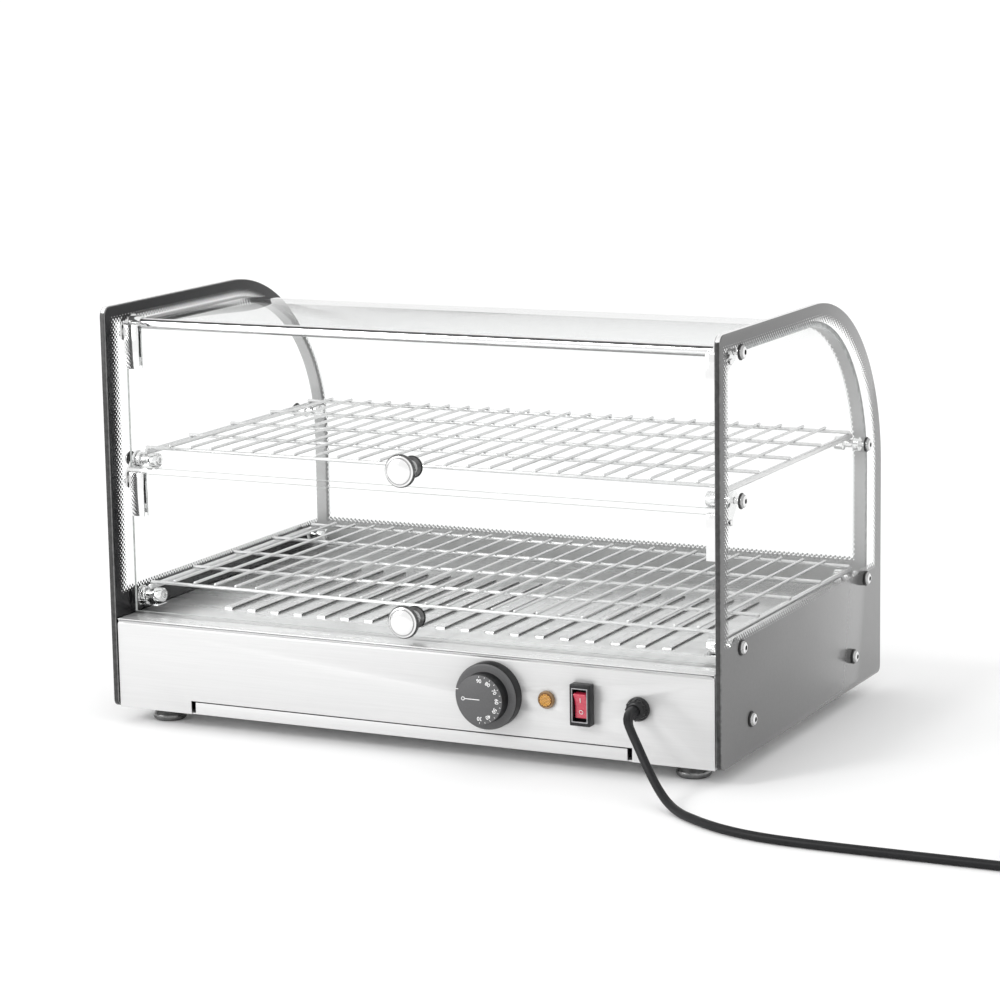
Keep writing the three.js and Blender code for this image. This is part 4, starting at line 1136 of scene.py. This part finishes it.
def makeDial():
    centre = at(controls["dial"], 1.0, controls["z"])
    skirt, hub = dialSize["skirt"], dialSize["hub"]
    body = turnPiece("dialBody", [
        (skirt, 0.3), (skirt, 8.6), (skirt - 0.3, 10.2), (skirt - 1.0, 10.9), (skirt - 1.8, 11.1),
        (hub + 1.2, 11.1),
        (hub + 0.4, 11.3), (hub + 0.2, 12.0), (hub, 20.6), (hub - 0.2, 21.4), (hub - 0.8, 21.8),
        (2.0, 21.8), (0.3, 21.8)], centre, (0, -1, 0), 96)
    spindle = turnPiece("spindle", [(3, -6.8), (3, 0.4), (0.4, 0.5)], centre, (0, -1, 0), 20)
    paint(body, dialPlastic)
    # the side walls are painted near black, a shaded copy of the dial plastic: painted shade
    paintFaces(body, dialSide, lambda p: abs(p.normal.y) < 0.3)
    paint(spindle, innerSteel)
    parts = [body, spindle]
    face = centre + Vector((0, -(dialSize["depth"] + 0.02) / 1000, 0))
    marks = []
    for i, number in enumerate(dialSize["numbers"]):
        angle = math.radians(i * dialSize["textTurn"])
        radius = dialSize["textRadius"] / 1000
        spot = face + Vector((radius * math.sin(angle), 0, radius * math.cos(angle)))
        marks.append(addText(str(number), dialSize["textHeight"], spot, -angle))
    for i in range(dialSize["ticks"]):
        angle = math.radians(i * dialSize["tickTurn"])
        inside = dialSize["tickIn"] + (0.3 if i % 2 else 0)
        low = (-0.00016, -0.0001, inside / 1000)
        high = (0.00016, 0.0001, dialSize["tickOut"] / 1000)
        tick = addBlock("tick", low, high)
        tick.matrix_world = Matrix.Translation(face) @ Matrix.Rotation(angle, 4, "Y")
        fixPlace(tick)
        marks.append(tick)
    bar = addBlock("pointer", face + Vector((-0.0128, -0.0001, -0.0003)),
                   face + Vector((0.0002, 0.0001, 0.0003)))
    clearSelection()
    bpy.ops.mesh.primitive_torus_add(major_radius=0.0013, minor_radius=0.0003, major_segments=24,
                                     minor_segments=8,
                                     location=face + Vector((-0.0143, 0, 0)), rotation=(math.pi / 2, 0, 0))
    loop = named("offRing")
    fixPlace(loop)
    marks += [bar, loop]
    nick = addBlock("skirtMark", at(controls["dial"] - 26.4, 1 - 11.3, controls["z"] + 4.2),
                    at(controls["dial"] - 23.4, 1 - 11.05, controls["z"] + 4.8))
    marks.append(nick)
    for mark in marks:
        paint(mark, scalePaint)
    dial = joinPieces("thermostatKnob", parts + marks)
    seat(dial, "dial", "black_plastic", "thermostat_knob")


# shaded copy of the dial plastic for its side walls: painted shade
dialSide = mixedMaterial('dialSide', (0.006, 0.006, 0.007), (0.012, 0.012, 0.013), (0.35, 0.45), metallic=0,
    scale=900, spec=0.3)
makeDial()
print("dial made")


# Pilot lamp.
beadGrid = {"reach": 4, "pitch": 1.25, "rowPitch": 1.08, "radius": 4.9}


def makeLamp():
    centre = at(controls["lamp"], 1.0, controls["z"])
    rim = turnPiece("lampRim", [
        (7.2, 0.3), (7.2, 1.6), (6.9, 2.4), (6.2, 2.9), (5.7, 2.7), (5.6, 2.2), (0.4, 2.2)],
        centre, (0, -1, 0), 48)
    lens = turnPiece("lampLens", [
        (5.5, 1.9), (5.5, 2.6), (5.2, 3.0), (4.0, 3.3), (2.2, 3.4), (0.3, 3.4)], centre, (0, -1, 0), 48)
    barrel = turnPiece("lampBarrel", [(5.5, 0), (5.5, 16), (5.0, 17.3), (0.4, 17.3)], centre, (0, 1, 0), 32)
    nut = turnPiece("lampNut", [(7.2, 1.3), (7.2, 4.1), (6.8, 4.3), (5.6, 4.3)], centre, (0, 1, 0), 6)
    bead = turnPiece("bead", [(0.5, 3.1), (0.46, 3.5), (0.26, 3.66), (0.1, 3.68)], centre, (0, -1, 0), 8)
    beads = []
    steps = range(-beadGrid["reach"], beadGrid["reach"] + 1)
    for row in steps:
        for column in steps:
            x = (column + 0.5 * (row % 2)) * beadGrid["pitch"]
            z = row * beadGrid["rowPitch"]
            if math.hypot(x, z) < beadGrid["radius"]:
                beads.append(copyPiece(bead, "bead", (x, 0, z)))
    bpy.data.objects.remove(bead)
    paint(rim, rimPlastic)
    paint(lens, amberDeep)
    for piece in beads:
        paint(piece, amberPlastic)
    paint(barrel, blackPlastic)
    paint(nut, blackPlastic)
    lamp = joinPieces("pilotLamp", [rim, lens, barrel, nut, *beads])
    seat(lamp, "case", "amber_lens", "pilot_lamp")


makeLamp()


# Rocker switch.
switchSize = {"width": 17.6, "height": 33.5, "depth": 8.6, "pocketWidth": 12.0, "pocketHeight": 25.8,
              "pocketDepth": 7.4, "bodyHalf": 6.5, "bodyHalfHeight": 14, "bodyRear": 22, "coverHalf": 6.9,
              "coverHalfHeight": 13.8, "coverRim": 0.8, "pivotDepth": 6.4, "tilt": 10}
# The bezel stands a little off the panel.
switchFace = panelSize["face"] - 0.3 - switchSize["depth"]
# The rocker's own sizes are metres, about its pivot.
rockerSize = {"half": 0.0056, "halfHeight": 0.0102, "front": -0.0052, "rear": 0.0012, "hollow": -0.0034,
              "curve": 0.0018}


def makeSwitch():
    x, z, face = controls["switch"], controls["z"], switchFace
    halfWide, halfHigh = switchSize["width"] / 2, switchSize["height"] / 2
    housing = addBlock("switchHousing", at(x - halfWide, face, z - halfHigh),
                       at(x + halfWide, 0.7, z + halfHigh))
    wide, high = switchSize["bodyHalf"], switchSize["bodyHalfHeight"]
    inner = addBlock("switchBack", at(x - wide, 0.5, z - high),
                     at(x + wide, switchSize["bodyRear"], z + high))
    softenEdges(housing, 0.0009, 3)
    wide, high = switchSize["pocketWidth"] / 2, switchSize["pocketHeight"] / 2
    pocket = addBlock("pocket", at(x - wide, face - 1, z - high),
                      at(x + wide, face + switchSize["pocketDepth"], z + high))
    cutWith(housing, pocket)
    smooth(housing)
    softenEdges(inner, 0.0008, 2)
    wide, high, rim = switchSize["coverHalf"], switchSize["coverHalfHeight"], switchSize["coverRim"]
    cover = addBlock("coverFrame", at(x - wide, face - 0.5, z - high), at(x + wide, face + 0.3, z + high))
    cutWith(cover, addBlock("coverHole", at(x - wide + rim, face - 3, z - high + rim),
                            at(x + wide - rim, face + 3, z + high - rim)))
    softenEdges(cover, 0.0002, 2, 50)
    smooth(cover)
    paint(housing, blackPlastic)
    paint(inner, blackPlastic)
    paint(cover, clearRim)
    housing = joinPieces("switchHousing", [housing, inner, cover])
    seat(housing, "case", "black_plastic", "switch_housing")


# The rocker is made about its pivot, and then tipped and put in its place.
def makeRocker():
    wide, high = rockerSize["half"], rockerSize["halfHeight"]
    rocker = addBlock("switchRocker", (-wide, rockerSize["front"], -high), (wide, rockerSize["rear"], high))
    editParts(rocker, "FACE", lambda face: face.normal.y < -0.9)
    bpy.ops.mesh.subdivide(number_cuts=7)
    leaveEdit()
    for vertex in rocker.data.vertices:
        if vertex.co.y < -0.005:
            share = vertex.co.z / high
            vertex.co.y = rockerSize["hollow"] - rockerSize["curve"] * share * share
    softenEdges(rocker, 0.0005, 3, 50)
    smooth(rocker, 40)
    paint(rocker, rockerPlastic)
    clearSelection()
    bpy.ops.mesh.primitive_torus_add(major_radius=0.0016, minor_radius=0.00026, major_segments=32,
                                     minor_segments=8, location=(0, -0.0044, -0.0052),
                                     rotation=(math.pi / 2 + 0.1, 0, 0))
    ring = named("offMark")
    fixPlace(ring)
    bar = addBlock("onMark", (-0.00022, -0.00446, 0.0028), (0.00022, -0.0040, 0.0066))
    paint(ring, scalePaint)
    paint(bar, scalePaint)
    rocker = joinPieces("switchRocker", [rocker, ring, bar])
    pivot = at(controls["switch"], switchFace + switchSize["pivotDepth"], controls["z"])
    tilt = math.radians(switchSize["tilt"])
    rocker.matrix_world = Matrix.Translation(pivot) @ Matrix.Rotation(tilt, 4, "X")
    fixPlace(rocker)
    seat(rocker, "rocker", "red_lens", "switch_rocker")


clearRim = mixedMaterial('clearRim', (0.25, 0.25, 0.26), (0.4, 0.4, 0.41), (0.05, 0.12), metallic=0,
    scale=400)
makeSwitch()
makeRocker()
print("lamp and switch made")

# Nodes that keep their own shape.
for row in ("top", "middle", "lower"):
    for side in ("left", "right"):
        paint(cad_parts[f"{row}_bracket_{side}"], mirrorSteel)
paint(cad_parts["heating_element"], heaterSheath)
paint(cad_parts["thermostat_body"], innerSteel)


# Floor and light.
studio = {"world": 1.02, "sun": 0.8, "sunSpread": 14, "sunFrom": (-0.5, -0.75, 0.6), "floor": 0.955,
          "floorSize": 120, "fill": 2.4, "fillSize": 0.6, "fillPlace": (-0.8, -1.0, 0.5)}


def makeStudio():
    clearSelection()
    bpy.ops.mesh.primitive_plane_add(size=studio["floorSize"], location=(0, 0, 0))
    floor = named("studioFloor")
    fixPlace(floor)
    material, nodes, links, output = newMaterial("floorWhite")
    white = (studio["floor"], studio["floor"], studio["floor"], 1)
    shader = addNode(nodes, "BsdfPrincipled", {"Base Color": white, "Roughness": 0.7,
                                               "Specular IOR Level": 0.1})
    links.new(shader.outputs["BSDF"], output.inputs["Surface"])
    paint(floor, material)
    world = bpy.data.worlds.new("studioWorld")
    bpy.context.scene.world = world
    world.use_nodes = True
    background = world.node_tree.nodes["Background"]
    background.inputs["Color"].default_value = (1, 1, 1, 1)
    background.inputs["Strength"].default_value = studio["world"]
    sun = bpy.data.lights.new("softSun", "SUN")
    sun.energy = studio["sun"]
    sun.angle = math.radians(studio["sunSpread"])
    holder = bpy.data.objects.new("softSun", sun)
    holder.rotation_euler = Vector(studio["sunFrom"]).to_track_quat("Z", "Y").to_euler()
    bpy.context.scene.collection.objects.link(holder)
    fill = bpy.data.lights.new("leftFill", "AREA")
    fill.energy = studio["fill"]
    fill.size = studio["fillSize"]
    panelLight = bpy.data.objects.new("leftFill", fill)
    panelLight.location = studio["fillPlace"]
    away = Vector(studio["fillPlace"]) - Vector((-0.15, frontY, 0.05))
    panelLight.rotation_euler = away.to_track_quat("Z", "Y").to_euler()
    bpy.context.scene.collection.objects.link(panelLight)
    bpy.context.scene.view_settings.view_transform = "Standard"


makeStudio()
print("studio made")

clearSelection()
